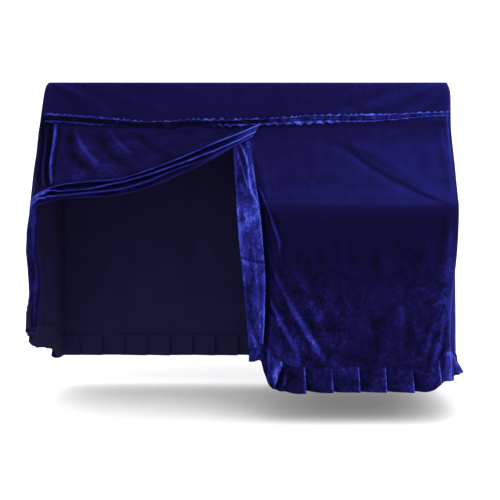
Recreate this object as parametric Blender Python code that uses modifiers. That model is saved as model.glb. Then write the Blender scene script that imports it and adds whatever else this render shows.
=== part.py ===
"""Fitted velvet cover of an upright piano, its left front curtain drawn aside over the left arm.

X runs along the keyboard, Y towards the wall and Z up, in metres. The origin is the centre of the
lid on which the cover lies, so the cloth hangs below it. Every piece is one sheet of cloth, shaped
as it hangs, and neighbours that are sewn together stand one seam's space apart.
"""
import math
from collections import namedtuple

import bpy
from mathutils import Vector

# ------------------------------------------------------------------ driving dimensions
CLOTH = 0.002               # velvet with its backing
SEAM = 0.0004               # space between two sewn pieces on a straight seam
FOLDED_SEAM = 0.0009        # and on a seam whose pieces bend there
LID_HALF_DEPTH = 0.188      # centre of the lid to the cloth over its front and back edges
CORNER = 0.026              # radius of the cloth around an upright corner
BACK_CORNER = 0.010         # and around the back's corners
BACK_FLARE = 0.008          # how far the back stands off at its hem
HEM_LINE = -1.035           # seam between the cloth and its ruffle
RUFFLE_DROP = 0.080         # depth of the ruffle
PLEAT = 0.095               # width of one pleat of the ruffle
PLEAT_START = 0.207         # where one pleat of the closed curtain ends
PLEAT_DEPTH = 0.020         # how far a pleat stands out at the hem
BAND_WIDTH = 0.024          # height of the shirred band
BAND_LIFT = 0.0055          # how far the band's puckered edges stand off
PUCKERS = 54                # puckers along the band
CREASE = -0.457             # height of the keybed's front edge, over which the cloth breaks
COVER = "piano_cover"        # collection of the pieces
OVERLAP_LIFT = 0.006        # how far the drawn curtain lies in front of the closed one
BAND_FROM = 0.09            # where the band begins and ends, as shares of the valance
BAND_TO = 0.94
BAND_HEIGHT = -0.150        # about where it lies
BAND_SET = 0.004            # how far its middle lies below the seam that it covers
BAND_CLEAR = 0.0037         # how far its middle stands off that seam
BACK_SPREAD = 0.004         # how far the back's ends stand outside the lid's
SIDE_SEAM = 0.0008          # space along the sides' curved seams
TOP_COLUMNS = 10
TOP_ROWS = 8
VALANCE_ROWS = 6
CURTAIN_ROWS = 24
LEFT_ROWS = 24              # those of the valance and three for each section of the tail
CORNER_SHARE = 0.1          # share of the valance's and the back's columns on each corner
CURTAIN_CORNER = 0.09       # share of the closed curtain's columns on its corner

# front line of the cloth, from the hem up: height, depth
FRONT_LINE = (
    (-1.120, -0.446), (-1.040, -0.445), (-0.800, -0.441), (-0.500, -0.439), (-0.457, -0.434),
    (-0.430, -0.417), (-0.360, -0.358), (-0.250, -0.266), (-0.190, -0.222), (-0.150, -0.203),
    (-0.080, -0.192), (0.000, -0.188),
)
# outer line of the right front corner, from the hem up: height, half width
RIGHT_CORNER = (
    (-1.120, 0.748), (-1.040, 0.734), (-0.970, 0.727), (-0.870, 0.726), (-0.760, 0.732),
    (-0.650, 0.746), (-0.540, 0.754), (-0.420, 0.758), (-0.280, 0.766), (-0.060, 0.771),
    (0.000, 0.764),
)
# seam between the left side and the front cloth, from the hem up: height, half width, depth
LEFT_SEAM = (
    (-0.960, 0.812, -0.268), (-0.885, 0.812, -0.265), (-0.750, 0.812, -0.260),
    (-0.600, 0.820, -0.250), (-0.500, 0.820, -0.235), (-0.360, 0.812, -0.210),
    (-0.250, 0.800, -0.190), (-0.160, 0.789, -0.178), (-0.100, 0.783, -0.168),
    (-0.060, 0.776, -0.165), (0.000, 0.764, -0.162),
)
# seam under the shirred band, from left to right: place, height
BAND_LINE = (
    (-0.780, -0.130), (-0.740, -0.131), (-0.630, -0.138), (-0.510, -0.147), (-0.400, -0.153),
    (-0.300, -0.153), (-0.200, -0.147), (-0.080, -0.148), (0.050, -0.143), (0.150, -0.138),
    (0.240, -0.132), (0.440, -0.131), (0.550, -0.127), (0.660, -0.118), (0.780, -0.112),
)
# ruffle seam of the closed curtain, from its free edge to the right: place, height
RIGHT_HEM = (
    (-0.020, -0.972), (0.020, -0.966), (0.050, -0.962), (0.080, -0.986), (0.120, -1.014),
    (0.170, -1.032), (0.300, -1.036), (0.620, -1.034), (0.690, -1.020), (0.730, -1.010),
    (0.800, -1.010),
)
# ruffle seam of the left side, from front to back: depth, height
LEFT_HEM = (
    (-0.300, -0.872), (-0.265, -0.885), (-0.195, -0.920), (-0.020, -0.965), (0.060, -1.015),
    (0.200, -1.035),
)

# ruffle seam of the right side, from front to back: depth, height
RIGHT_SIDE_HEM = (
    (-0.430, -1.010), (-0.380, -1.012), (-0.100, -1.030), (0.200, -1.035),
)

# long lines of the closed curtain, from the hem up: height, free edge, ridge of the turned
# edge, valley behind that ridge, place where the valley has run out
EdgeLine = namedtuple("EdgeLine", "height free ridge valley out")
EDGE_LINES = (
    EdgeLine(-1.040, 0.006, 0.050, 0.066, 0.110),
    EdgeLine(-0.950, 0.002, 0.052, 0.066, 0.105),
    EdgeLine(-0.860, -0.005, 0.057, 0.071, 0.105),
    EdgeLine(-0.720, -0.017, 0.059, 0.071, 0.100),
    EdgeLine(-0.580, -0.032, 0.050, 0.062, 0.090),
    EdgeLine(-0.457, -0.040, 0.039, 0.051, 0.078),
    EdgeLine(-0.360, -0.047, 0.027, 0.041, 0.066),
    EdgeLine(-0.250, -0.055, 0.004, 0.019, 0.045),
    EdgeLine(-0.130, -0.061, -0.019, -0.008, 0.020),
)
FREE_LIFT = 0.008           # how far the turned edge's free side stands out
RIDGE_LIFT = 0.024          # and its ridge
VALLEY_SINK = 0.012         # how deep the valley behind it lies

# soft folds, raised where lift is positive: ends, sideways bow, half width, lift
Fold = namedtuple("Fold", "x_top z_top x_end z_end bow width lift")
VALANCE_FOLDS = (
    Fold(-0.725, -0.010, -0.520, -0.100, 0.010, 0.022, 0.005),
    Fold(-0.690, -0.005, -0.360, -0.090, 0.000, 0.026, 0.003),
    Fold(0.705, -0.010, 0.400, -0.100, -0.010, 0.026, 0.004),
    Fold(0.725, -0.030, 0.620, -0.100, 0.000, 0.020, 0.004),
)
RIGHT_FOLDS = (
    Fold(0.040, -0.420, 0.135, -0.640, 0.010, 0.016, 0.012),
    Fold(0.050, -0.560, 0.200, -1.030, 0.040, 0.020, 0.018),
    Fold(0.072, -0.760, 0.130, -1.010, 0.015, 0.014, 0.012),
    Fold(0.120, -0.600, 0.260, -1.030, 0.030, 0.024, -0.008),
    Fold(0.380, -0.250, 0.690, -0.450, 0.000, 0.035, 0.007),
    Fold(0.690, -0.480, 0.655, -1.030, 0.010, 0.028, 0.010),
    Fold(0.732, -0.300, 0.705, -1.000, 0.000, 0.014, 0.007),
    Fold(0.320, -0.540, 0.360, -1.030, 0.000, 0.055, 0.010),
    Fold(0.520, -0.600, 0.500, -1.030, 0.000, 0.050, 0.009),
)
LEFT_FOLDS = (
    Fold(-0.670, -0.200, -0.570, -0.350, -0.035, 0.030, -0.012),
    Fold(-0.620, -0.200, -0.520, -0.345, -0.035, 0.020, 0.007),
    Fold(-0.540, -0.200, -0.430, -0.330, -0.025, 0.030, -0.009),
    Fold(-0.430, -0.200, -0.330, -0.300, -0.010, 0.032, -0.006),
)
SIDE_FOLDS = (
    Fold(-0.080, -0.150, -0.120, -1.000, 0.020, 0.030, 0.010),
    Fold(0.080, -0.250, 0.060, -1.020, 0.010, 0.026, 0.008),
    Fold(-0.280, -0.480, -0.300, -1.020, 0.000, 0.030, 0.010),
)
BACK_FOLDS = (
    Fold(-0.560, -0.100, -0.540, -1.030, 0.010, 0.060, 0.008),
    Fold(-0.200, -0.150, -0.230, -1.030, 0.010, 0.070, 0.008),
    Fold(0.180, -0.120, 0.200, -1.030, 0.000, 0.070, 0.009),
    Fold(0.540, -0.100, 0.560, -1.030, 0.000, 0.060, 0.008),
)

# The drawn curtain, section by section: along the band from the middle to the left corner, then
# down the side's seam. Each section runs from that sewn edge to the gathered rope's top ridge and
# on to the free edge; out is where its folds stand out to, and rope is how deep they are.
Section = namedtuple("Section", "sewn ridge free out rope")
FORWARD = (0.0, -1.0, 0.0)
ALONG_BAND = (              # sewn: place along the band; ridge, free: place and height
    Section(0.052, (0.044, -0.178), (0.018, -0.212), FORWARD, 0.001),
    Section(-0.030, (-0.030, -0.192), (-0.056, -0.242), FORWARD, 0.005),
    Section(-0.150, (-0.135, -0.231), (-0.165, -0.306), FORWARD, 0.009),
    Section(-0.270, (-0.245, -0.280), (-0.268, -0.354), FORWARD, 0.010),
    Section(-0.380, (-0.355, -0.324), (-0.372, -0.400), FORWARD, 0.010),
    Section(-0.490, (-0.465, -0.355), (-0.478, -0.428), FORWARD, 0.009),
    Section(-0.600, (-0.575, -0.366), (-0.585, -0.434), FORWARD, 0.008),
    Section(-0.690, (-0.672, -0.385), (-0.670, -0.436), FORWARD, 0.008),
    Section(-0.762, (-0.735, -0.402), (-0.728, -0.440), (-0.20, -0.75, 0.60), 0.005),
)
DOWN_SIDE = (               # sewn: height on the side's seam; ridge, free: points in space
    Section(-0.132, (-0.774, -0.385, -0.436), (-0.763, -0.424, -0.458), (-0.6, -0.4, 0.7), 0.006),
    Section(-0.250, (-0.796, -0.362, -0.495), (-0.782, -0.428, -0.505), (-0.9, -0.2, 0.3), 0.010),
    Section(-0.370, (-0.806, -0.345, -0.575), (-0.786, -0.432, -0.575), (-1.0, 0.0, 0.0), 0.012),
    Section(-0.500, (-0.808, -0.340, -0.645), (-0.784, -0.434, -0.640), (-1.0, 0.0, 0.0), 0.013),
    Section(-0.640, (-0.800, -0.340, -0.718), (-0.775, -0.434, -0.702), (-1.0, 0.0, 0.0), 0.013),
    Section(-0.770, (-0.796, -0.342, -0.783), (-0.773, -0.433, -0.757), (-1.0, 0.0, 0.0), 0.013),
    Section(-0.885, (-0.804, -0.345, -0.848), (-0.782, -0.431, -0.808), (-1.0, 0.0, 0.0), 0.013),
)
FLAT_SHARE = 0.35           # share of a section's rows above the rope
FIRST_RIDGE = 0.05          # where across the rope its first ridge lies
RIDGE_STEP = 0.34           # and how far apart the ridges are
CORNER_RIDGES = ((7.45, 0.35, 0.010), (8.60, 0.30, 0.008))  # upright: section, half width, lift

VELVET = (0.014, 0.010, 0.100, 1.0)
VELVET_BRIGHT = (0.018, 0.015, 0.150, 1.0)
ROUGHNESS = 0.75


# ------------------------------------------------------------------ curves
def blend(low, high, share):
    """Mix two numbers."""
    return low + (high - low) * share


def ease(start, end, value):
    """Rise smoothly from 0 at start to 1 at end."""
    share = min(max((value - start) / (end - start), 0.0), 1.0)
    return share * share * (3.0 - 2.0 * share)


def glide(position, line, column=1):
    """Read a column of a table at a position, on a smooth curve that never overshoots."""
    first, last = line[0][0], line[-1][0]
    position = min(max(position, first), last)
    slopes = [(after[column] - here[column]) / (after[0] - here[0])
              for here, after in zip(line, line[1:])]
    tangents = [slopes[0]]
    for before, after in zip(slopes, slopes[1:]):
        tangents.append(2.0 * before * after / (before + after) if before * after > 0.0 else 0.0)
    tangents.append(slopes[-1])
    step = max(i for i in range(len(line) - 1) if line[i][0] <= position)
    span = line[step + 1][0] - line[step][0]
    t = (position - line[step][0]) / span
    return ((2 * t**3 - 3 * t**2 + 1) * line[step][column]
            + (t**3 - 2 * t**2 + t) * span * tangents[step]
            + (3 * t**2 - 2 * t**3) * line[step + 1][column]
            + (t**3 - t**2) * span * tangents[step + 1])


def through(points, place):
    """Point on the smooth curve through points, where place counts from point to point."""
    step = min(int(place), len(points) - 2)
    t = place - step
    here, after = points[step], points[step + 1]
    before = points[step - 1] if step > 0 else here * 2.0 - after
    beyond = points[step + 2] if step + 2 < len(points) else after * 2.0 - here
    return 0.5 * (2.0 * here + (after - before) * t
                  + (2.0 * before - 5.0 * here + 4.0 * after - beyond) * t**2
                  + (3.0 * here - before - 3.0 * after + beyond) * t**3)


def spread(share, stops):
    """Map an even share to a place, by (share, place) stops."""
    for (from_share, low), (to_share, high) in zip(stops, stops[1:]):
        if share <= to_share:
            return blend(low, high, (share - from_share) / (to_share - from_share))
    return stops[-1][1]


def fold_lift(folds, along, height):
    """Lift of the soft folds that pass a place on the cloth."""
    total = 0.0
    for fold in folds:
        share = (height - fold.z_top) / (fold.z_end - fold.z_top)
        if not -0.3 < share < 1.3:
            continue
        held = min(max(share, 0.0), 1.0)
        centre = blend(fold.x_top, fold.x_end, held) + fold.bow * 4.0 * held * (1.0 - held)
        reach = ease(-0.3, 0.25, share) * ease(1.3, 0.95, share)
        total += fold.lift * reach * math.exp(-((along - centre) / fold.width) ** 2)
    return total


# ------------------------------------------------------------------ lines shared by the pieces
def front_depth(height):
    """Depth of the front cloth at a height."""
    return glide(height, FRONT_LINE)


def right_half(height):
    """Outer line of the right front corner at a height."""
    return glide(height, RIGHT_CORNER)


def left_seam(height):
    """Point of the left side's front seam at a height."""
    around_corner = front_depth(height) + CORNER
    y = blend(around_corner, glide(height, LEFT_SEAM, 2), ease(BAND_HEIGHT, -0.25, height))
    return Vector((-glide(height, LEFT_SEAM), y, height))


def back_depth(height):
    """Depth of the back cloth at a height."""
    return LID_HALF_DEPTH + BACK_FLARE * ease(0.0, HEM_LINE, height)


def back_half(height):
    """Half width of the back at a height."""
    return LID_HALF_WIDTH + BACK_SPREAD * ease(0.0, -0.1, height)


def right_seam_depth(height):
    """Depth of the right side's front seam at a height."""
    return front_depth(height) + CORNER


def quarter(centre, start_angle, share, radius=CORNER):
    """Point on a quarter turn of an upright corner, seen from above."""
    angle = math.radians(start_angle + 90.0 * share)
    return centre + Vector((math.cos(angle), math.sin(angle), 0.0)) * radius


FIRST_ROW = CLOTH           # upper edge of what hangs around the top
LID_HALF_WIDTH = right_half(FIRST_ROW)      # centre of the lid to the cloth over its ends
INSET = CLOTH / 2.0 + SEAM  # how far inside that cloth the top ends


# ------------------------------------------------------------------ making sheets
def velvet(name, colour):
    """Material of one piece."""
    material = bpy.data.materials.new(name)
    material.use_nodes = True
    shader = material.node_tree.nodes["Principled BSDF"]
    shader.inputs["Base Color"].default_value = colour
    shader.inputs["Roughness"].default_value = ROUGHNESS
    shader.inputs["Metallic"].default_value = 0.0
    return material


def sheet(name, columns, rows, place, colour=VELVET):
    """Shape a grid by place(across, down), both 0 to 1, and give it the cloth's thickness."""
    bpy.ops.mesh.primitive_grid_add(x_subdivisions=columns, y_subdivisions=rows, size=1.0)
    piece = bpy.context.object
    piece.name = name
    piece.data.name = name
    for vertex in piece.data.vertices:
        vertex.co = place(vertex.co.x + 0.5, 0.5 - vertex.co.y)
    piece.data.shade_smooth()
    wall = piece.modifiers.new("cloth", "SOLIDIFY")
    wall.thickness = CLOTH
    wall.offset = 0.0
    wall.use_even_offset = True
    piece.data.materials.append(velvet(name, colour))
    for collection in piece.users_collection:
        collection.objects.unlink(piece)
    bpy.data.collections[COVER].objects.link(piece)
    return piece


# ------------------------------------------------------------------ the pieces
def top_place(across, down):
    """The top: flat on the lid, its corners round when seen from above."""
    half_width = LID_HALF_WIDTH - INSET
    half_depth = LID_HALF_DEPTH - INSET
    x = spread(across, corner_stops(TOP_COLUMNS, half_width))
    y = -spread(down, corner_stops(TOP_ROWS, half_depth))
    radius = (CORNER if y < 0.0 else BACK_CORNER) - INSET
    over_x = max(abs(x) - half_width + radius, 0.0) / radius
    over_y = max(abs(y) - half_depth + radius, 0.0) / radius
    x -= math.copysign(over_x * (1.0 - math.sqrt(1.0 - over_y**2 / 2.0)) * radius, x)
    y -= math.copysign(over_y * (1.0 - math.sqrt(1.0 - over_x**2 / 2.0)) * radius, y)
    return Vector((x, y, CLOTH / 2.0))


def corner_stops(count, half):
    """Stops that give each end of a run two steps over its round corner."""
    share = 2.0 / count
    corner = half - CORNER + INSET
    return ((0.0, -half), (share, -corner), (1.0 - share, corner), (1.0, half))


def build_top():
    """Top panel."""
    sheet("top_panel", TOP_COLUMNS, TOP_ROWS, top_place)


def front_x(share, height):
    """Place across of the flat of the front cloth between its two corners."""
    flat = min(max((share - CORNER_SHARE) / (1.0 - 2.0 * CORNER_SHARE), 0.0), 1.0)
    return blend(left_seam(height).x + CORNER, right_half(height) - CORNER, flat)


def front_at(share, height):
    """Point of the plain front cloth around both corners, and the way out of it."""
    centre = Vector((front_x(share, height), front_depth(height) + CORNER, height))
    if share < CORNER_SHARE:
        point = quarter(centre, 180.0, share / CORNER_SHARE)
    elif share > 1.0 - CORNER_SHARE:
        point = quarter(centre, 270.0, (share - 1.0 + CORNER_SHARE) / CORNER_SHARE)
    else:
        point = centre - Vector((0.0, CORNER, 0.0))
    return point, (point - centre).normalized()


def valance_place(across, down):
    """The upper front strip, from the left seam around both corners, down to the band."""
    foot = glide(front_x(across, BAND_HEIGHT), BAND_LINE) + FOLDED_SEAM / 2.0
    height = blend(FIRST_ROW, foot, down)
    point, outward = front_at(across, height)
    flat = ease(0.0, CORNER_SHARE, across) * ease(1.0, 1.0 - CORNER_SHARE, across)
    return point + outward * flat * fold_lift(VALANCE_FOLDS, point.x, height)


def build_valance():
    """Front valance."""
    sheet("front_valance", 40, VALANCE_ROWS, valance_place)


def band_place(across, down):
    """The shirred band: both puckered edges stand off, its sewn middle lies close."""
    share = blend(BAND_FROM, BAND_TO, across)
    x = front_x(share, BAND_HEIGHT)
    phase = 2.0 * math.pi * across * PUCKERS
    unevenness = 0.6 + 0.4 * math.sin(x * 23.0) * math.sin(x * 9.0 + 1.0)
    edge = abs(2.0 * down - 1.0)
    side = 1.0 if down < 0.5 else -1.0
    height = glide(x, BAND_LINE) - BAND_SET + (0.5 - down) * BAND_WIDTH
    height += edge * 0.0022 * math.sin(phase * 0.5 + side) * unevenness
    over = OVERLAP_LIFT * ease(-0.30, -0.16, x) * ease(0.20, 0.07, x)
    puckers = 0.5 + 0.5 * math.sin(phase + 0.8 * side)
    off = BAND_CLEAR + over + BAND_LIFT * edge * (0.35 + 0.65 * puckers * unevenness)
    point, outward = front_at(share, height)
    return point + outward * off


def build_band():
    """Shirred band over the seam of the valance."""
    sheet("shirred_band", 2 * PUCKERS, 2, band_place, VELVET_BRIGHT)


def curtain_x(across, height):
    """Place across of the closed curtain, up to its corner."""
    free, ridge, valley, out = (glide(height, EDGE_LINES, column) for column in (1, 2, 3, 4))
    return spread(across, ((0.0, free), (0.14, ridge), (0.22, valley), (0.30, out),
                           (1.0 - CURTAIN_CORNER, right_half(height) - CORNER),
                           (1.0, right_half(height) - CORNER)))


def right_curtain_place(across, down):
    """The closed curtain, from its free edge to the right side's seam."""
    top = glide(curtain_x(across, BAND_HEIGHT), BAND_LINE) - FOLDED_SEAM / 2.0
    foot = glide(curtain_x(across, HEM_LINE), RIGHT_HEM)
    height = curtain_height(down, top, foot)
    free, ridge, valley, out = (glide(height, EDGE_LINES, column) for column in (1, 2, 3, 4))
    x = curtain_x(across, height)
    depth = front_depth(height)
    if across > 1.0 - CURTAIN_CORNER:
        centre = Vector((x, depth + CORNER, height))
        return quarter(centre, 270.0, (across - 1.0 + CURTAIN_CORNER) / CURTAIN_CORNER)
    hang = ease(-0.24, -0.44, height)
    if x < ridge:
        turned = blend(FREE_LIFT, RIDGE_LIFT, math.sin(math.pi / 2.0 * (x - free) / (ridge - free)))
    elif x < valley:
        turned = blend(RIDGE_LIFT, -VALLEY_SINK, ease(ridge, valley, x))
    else:
        turned = -VALLEY_SINK * (1.0 - ease(valley, out, x))
    lift = hang * turned + fold_lift(RIGHT_FOLDS, x, height) * ease(ridge, out, x)
    return Vector((x, depth - lift, height))


def build_right_curtain():
    """Right front curtain, hanging closed, with its turned leading edge."""
    sheet("right_curtain", 36, CURTAIN_ROWS, right_curtain_place)


def on_slope(x, height):
    """Point of the drawn curtain in front of the sloping cloth."""
    lift = OVERLAP_LIFT * ease(-0.30, -0.16, x)
    return Vector((x, front_depth(height) - lift, height))


def band_edge(x):
    """Point of the drawn curtain's sewn edge under the band."""
    return on_slope(x, glide(x, BAND_LINE) - FOLDED_SEAM / 2.0)


def sewn_point(place):
    """Point of the drawn curtain's sewn edge, where place counts the sections."""
    corner = len(ALONG_BAND) - 1
    if place <= corner:
        here = min(int(place), corner - 1)
        return band_edge(blend(ALONG_BAND[here].sewn, ALONG_BAND[here + 1].sewn, place - here))
    if place <= corner + 1:
        height = DOWN_SIDE[0].sewn
        centre = Vector((left_seam(height).x + CORNER, front_depth(height) + CORNER, height))
        return quarter(centre, 270.0, corner - place)
    return left_seam(seam_height(place - corner - 1))


def seam_height(place):
    """Height on the left side's seam, where place counts the sections down the side."""
    here = min(int(place), len(DOWN_SIDE) - 2)
    return blend(DOWN_SIDE[here].sewn, DOWN_SIDE[here + 1].sewn, place - here)


RIDGE_POINTS = ([on_slope(*flat.ridge) for flat in ALONG_BAND]
                + [Vector(side.ridge) for side in DOWN_SIDE])
FREE_POINTS = ([on_slope(*flat.free) for flat in ALONG_BAND]
               + [Vector(side.free) for side in DOWN_SIDE])
OUT_WAYS = [Vector(section.out) for section in ALONG_BAND + DOWN_SIDE]
ROPE_DEPTHS = [Vector((section.rope, 0.0, 0.0)) for section in ALONG_BAND + DOWN_SIDE]
LAST_SECTION = len(OUT_WAYS) - 1


def left_curtain_place(across, down):
    """The drawn curtain: across runs from the band's middle over the arm to the tail's hem."""
    place = across * LAST_SECTION
    sewn = sewn_point(place)
    ridge = through(RIDGE_POINTS, place)
    free = through(FREE_POINTS, place)
    out = through(OUT_WAYS, place).normalized()
    rope = through(ROPE_DEPTHS, place).x
    clear = rope * ease(-0.20, -0.08, ridge.x)
    start = rope * math.cos(2.0 * math.pi * FIRST_RIDGE / RIDGE_STEP) + clear
    if down > FLAT_SHARE:
        share = (down - FLAT_SHARE) / (1.0 - FLAT_SHARE)
        wave = rope * math.cos(2.0 * math.pi * (share - FIRST_RIDGE) / RIDGE_STEP)
        return ridge.lerp(free, share) + out * (wave + clear)
    share = down / FLAT_SHARE
    point = sewn.lerp(ridge, share)
    slope = ease(len(ALONG_BAND), len(ALONG_BAND) - 1, place)
    point.y = blend(point.y, on_slope(point.x, point.z).y, slope)
    lift = start * ease(0.6, 1.0, share) - 0.4 * rope * math.sin(math.pi * share) ** 2
    lift += slope * fold_lift(LEFT_FOLDS, point.x, point.z)
    for centre, width, height in CORNER_RIDGES:
        lift += height * math.sin(math.pi * share) * math.exp(-((place - centre) / width) ** 2)
    return point + out * lift * ease(0.0, 0.3, share)


def build_left_curtain():
    """Left front curtain, drawn aside in a gathered rope, with its tail over the arm."""
    sheet("left_curtain", 3 * LAST_SECTION, 20, left_curtain_place)


def side_height(down, seam_side, hem):
    """Height of a side's row: the rows of the valance, then those of the curtain."""
    valance_share = VALANCE_ROWS / (VALANCE_ROWS + CURTAIN_ROWS)
    if down <= valance_share:
        return blend(FIRST_ROW, seam_side, down / valance_share)
    return curtain_height((down - valance_share) / (1.0 - valance_share), seam_side, hem)


def curtain_height(down, top, foot):
    """Height of a closed curtain's row, finer where it breaks over the keybed."""
    return spread(down, ((0.0, top), (0.33, CREASE + 0.045), (0.46, CREASE - 0.030), (1.0, foot)))


def right_side_place(across, down):
    """Right side, from the front seam to the back seam."""
    band_end = glide(LID_HALF_WIDTH, BAND_LINE)
    height = side_height(down, band_end, glide(-0.4, RIGHT_SIDE_HEM))
    front = right_seam_depth(height) + SIDE_SEAM
    y = blend(front, LID_HALF_DEPTH - BACK_CORNER - SIDE_SEAM, across)
    hem_extra = glide(y, RIGHT_SIDE_HEM) - glide(-0.4, RIGHT_SIDE_HEM)
    x = blend(right_half(height), back_half(height), ease(front, front + 0.16, y))
    x += fold_lift(SIDE_FOLDS, y, height) * ease(front, front + 0.05, y)
    return Vector((x, y, height + hem_extra * ease(-0.6, -1.0, height)))


def left_side_place(across, down):
    """Left side, from the front seam to the back seam, its hem rising to the front."""
    valance_share = VALANCE_ROWS / LEFT_ROWS
    if down <= valance_share:
        height = blend(FIRST_ROW, DOWN_SIDE[0].sewn, down / valance_share)
    else:
        lower = (down - valance_share) / (1.0 - valance_share)
        height = seam_height(lower * (len(DOWN_SIDE) - 1))
    seam = left_seam(height)
    y = blend(seam.y + SIDE_SEAM, LID_HALF_DEPTH - BACK_CORNER - SIDE_SEAM, across)
    hem_extra = glide(y, LEFT_HEM) - DOWN_SIDE[-1].sewn
    x = blend(-seam.x, back_half(height), ease(0.0, 0.7, across))
    x += fold_lift(SIDE_FOLDS, y, height) * ease(0.0, 0.15, across) * ease(-0.1, -0.4, height)
    return Vector((-x, y, height + hem_extra * ease(-0.3, DOWN_SIDE[-1].sewn, height)))


def back_place(across, down):
    """Back, around both back corners to the sides' seams."""
    height = blend(FIRST_ROW, HEM_LINE, down)
    depth = back_depth(height)
    centre = Vector((back_half(height) - BACK_CORNER, LID_HALF_DEPTH - BACK_CORNER, height))
    flare = (depth - LID_HALF_DEPTH) / BACK_CORNER
    if across < CORNER_SHARE:
        point = quarter(centre, 0.0, across / CORNER_SHARE, BACK_CORNER)
    elif across > 1.0 - CORNER_SHARE:
        centre.x = -centre.x
        turned = (across - 1.0 + CORNER_SHARE) / CORNER_SHARE
        point = quarter(centre, 90.0, turned, BACK_CORNER)
    else:
        flat = (across - CORNER_SHARE) / (1.0 - 2.0 * CORNER_SHARE)
        x = blend(centre.x, -centre.x, flat)
        return Vector((x, depth + fold_lift(BACK_FOLDS, x, height), height))
    point.y += (point.y - centre.y) * flare
    return point


def build_sides_and_back():
    """Both sides and the back."""
    sheet("right_side_panel", 8, VALANCE_ROWS + CURTAIN_ROWS, right_side_place)
    sheet("left_side_panel", 16, LEFT_ROWS, left_side_place)
    sheet("back_panel", 30, 8, back_place)


def pleated(edge, outward, along, down, depth=PLEAT_DEPTH):
    """Point of a ruffle below its seam: knife pleats that open towards the hem."""
    turn = ((along - PLEAT_START) / PLEAT) % 1.0
    rise = turn / 0.8 if turn < 0.8 else (1.0 - turn) / 0.2
    unevenness = 0.75 + 0.25 * math.sin(along * 17.0)
    lift = depth * unevenness * rise * (0.05 + 0.95 * down ** 0.7)
    fall = RUFFLE_DROP * (0.98 + 0.04 * math.sin(along * 31.0) + 0.05 * rise)
    return edge + outward * lift - Vector((0.0, 0.0, FOLDED_SEAM + fall * down))


def right_ruffle_place(across, down):
    """Ruffle of the closed curtain."""
    edge = right_curtain_place(across, 1.0)
    turned = max(across - 1.0 + CURTAIN_CORNER, 0.0) / CURTAIN_CORNER
    angle = math.radians(90.0 * turned)
    outward = Vector((math.sin(angle), -math.cos(angle), 0.0))
    along = edge.x + 2.0 * CORNER * turned
    open_side = ease(0.16, 0.06, edge.x)
    edge.z -= FOLDED_SEAM * open_side
    return pleated(edge, outward, along, down, PLEAT_DEPTH * (1.0 - 0.65 * open_side))


def right_side_ruffle_place(across, down):
    """Ruffle of the right side."""
    edge = right_side_place(across, 1.0)
    return pleated(edge, Vector((1.0, 0.0, 0.0)), edge.y + 1.0, down)


def back_ruffle_place(across, down):
    """Ruffle of the back."""
    edge = back_place(across, 1.0)
    outward = Vector((0.0, 1.0, 0.0))
    corner = back_half(edge.z) - BACK_CORNER
    if abs(edge.x) > corner:
        centre_x = math.copysign(corner, edge.x)
        centre = Vector((centre_x, LID_HALF_DEPTH - BACK_CORNER, edge.z))
        outward = (edge - centre).normalized()
    return pleated(edge, outward, 1.0 - edge.x, down)


def left_side_ruffle_place(across, down):
    """Ruffle of the left side."""
    edge = left_side_place(across, 1.0)
    return pleated(edge, Vector((-1.0, 0.0, 0.0)), 1.0 - edge.y, down)


def left_ruffle_place(across, down):
    """Ruffle of the drawn curtain's tail."""
    edge = left_curtain_place(1.0, across)
    return pleated(edge, Vector((-1.0, 0.0, 0.0)), 1.0 - edge.y * 1.6, down, 0.010)


def build_ruffles():
    """One ruffle for each cloth that hangs."""
    sheet("right_curtain_ruffle", 72, 2, right_ruffle_place, VELVET_BRIGHT)
    sheet("right_side_ruffle", 28, 3, right_side_ruffle_place, VELVET_BRIGHT)
    sheet("back_ruffle", 70, 2, back_ruffle_place, VELVET_BRIGHT)
    sheet("left_side_ruffle", 16, 3, left_side_ruffle_place, VELVET_BRIGHT)
    sheet("left_curtain_ruffle", 20, 3, left_ruffle_place, VELVET_BRIGHT)


def main():
    """Build the cover in an empty scene."""
    for leftover in list(bpy.data.objects):
        bpy.data.objects.remove(leftover)
    collection = bpy.data.collections.new(COVER)
    bpy.context.scene.collection.children.link(collection)
    build_top()
    build_valance()
    build_band()
    build_right_curtain()
    build_left_curtain()
    build_sides_and_back()
    build_ruffles()


main()
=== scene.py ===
"""Dressed velvet piano cover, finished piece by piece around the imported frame.

Every piece of cloth is one sheet. A grid is shaped by the lines that the pieces share, so that
neighbours meet at their seams, and then gets its thickness. X runs along the keyboard, Y towards
the wall and Z up, in metres, and the origin is the centre of the lid under the cover.
"""
import logging
import math
from dataclasses import dataclass
from enum import Enum
from typing import Mapping, Optional, Sequence, Tuple

import bpy
import numpy as np
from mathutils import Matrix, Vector


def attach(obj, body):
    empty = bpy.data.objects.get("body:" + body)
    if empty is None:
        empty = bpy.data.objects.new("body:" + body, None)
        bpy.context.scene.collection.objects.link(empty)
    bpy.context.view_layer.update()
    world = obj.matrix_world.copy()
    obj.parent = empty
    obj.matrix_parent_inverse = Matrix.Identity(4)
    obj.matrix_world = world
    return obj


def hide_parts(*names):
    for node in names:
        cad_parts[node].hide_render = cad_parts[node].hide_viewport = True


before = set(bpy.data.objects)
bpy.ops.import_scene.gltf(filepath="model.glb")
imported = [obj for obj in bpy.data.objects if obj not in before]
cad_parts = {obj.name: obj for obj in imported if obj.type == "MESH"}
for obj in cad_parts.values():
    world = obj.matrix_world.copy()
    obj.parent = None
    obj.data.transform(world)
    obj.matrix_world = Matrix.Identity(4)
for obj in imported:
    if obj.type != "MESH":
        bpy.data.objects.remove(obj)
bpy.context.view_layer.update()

logging.basicConfig(level=logging.INFO, format="%(name)s: %(message)s")
LOG = logging.getLogger("piano_cover")

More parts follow.
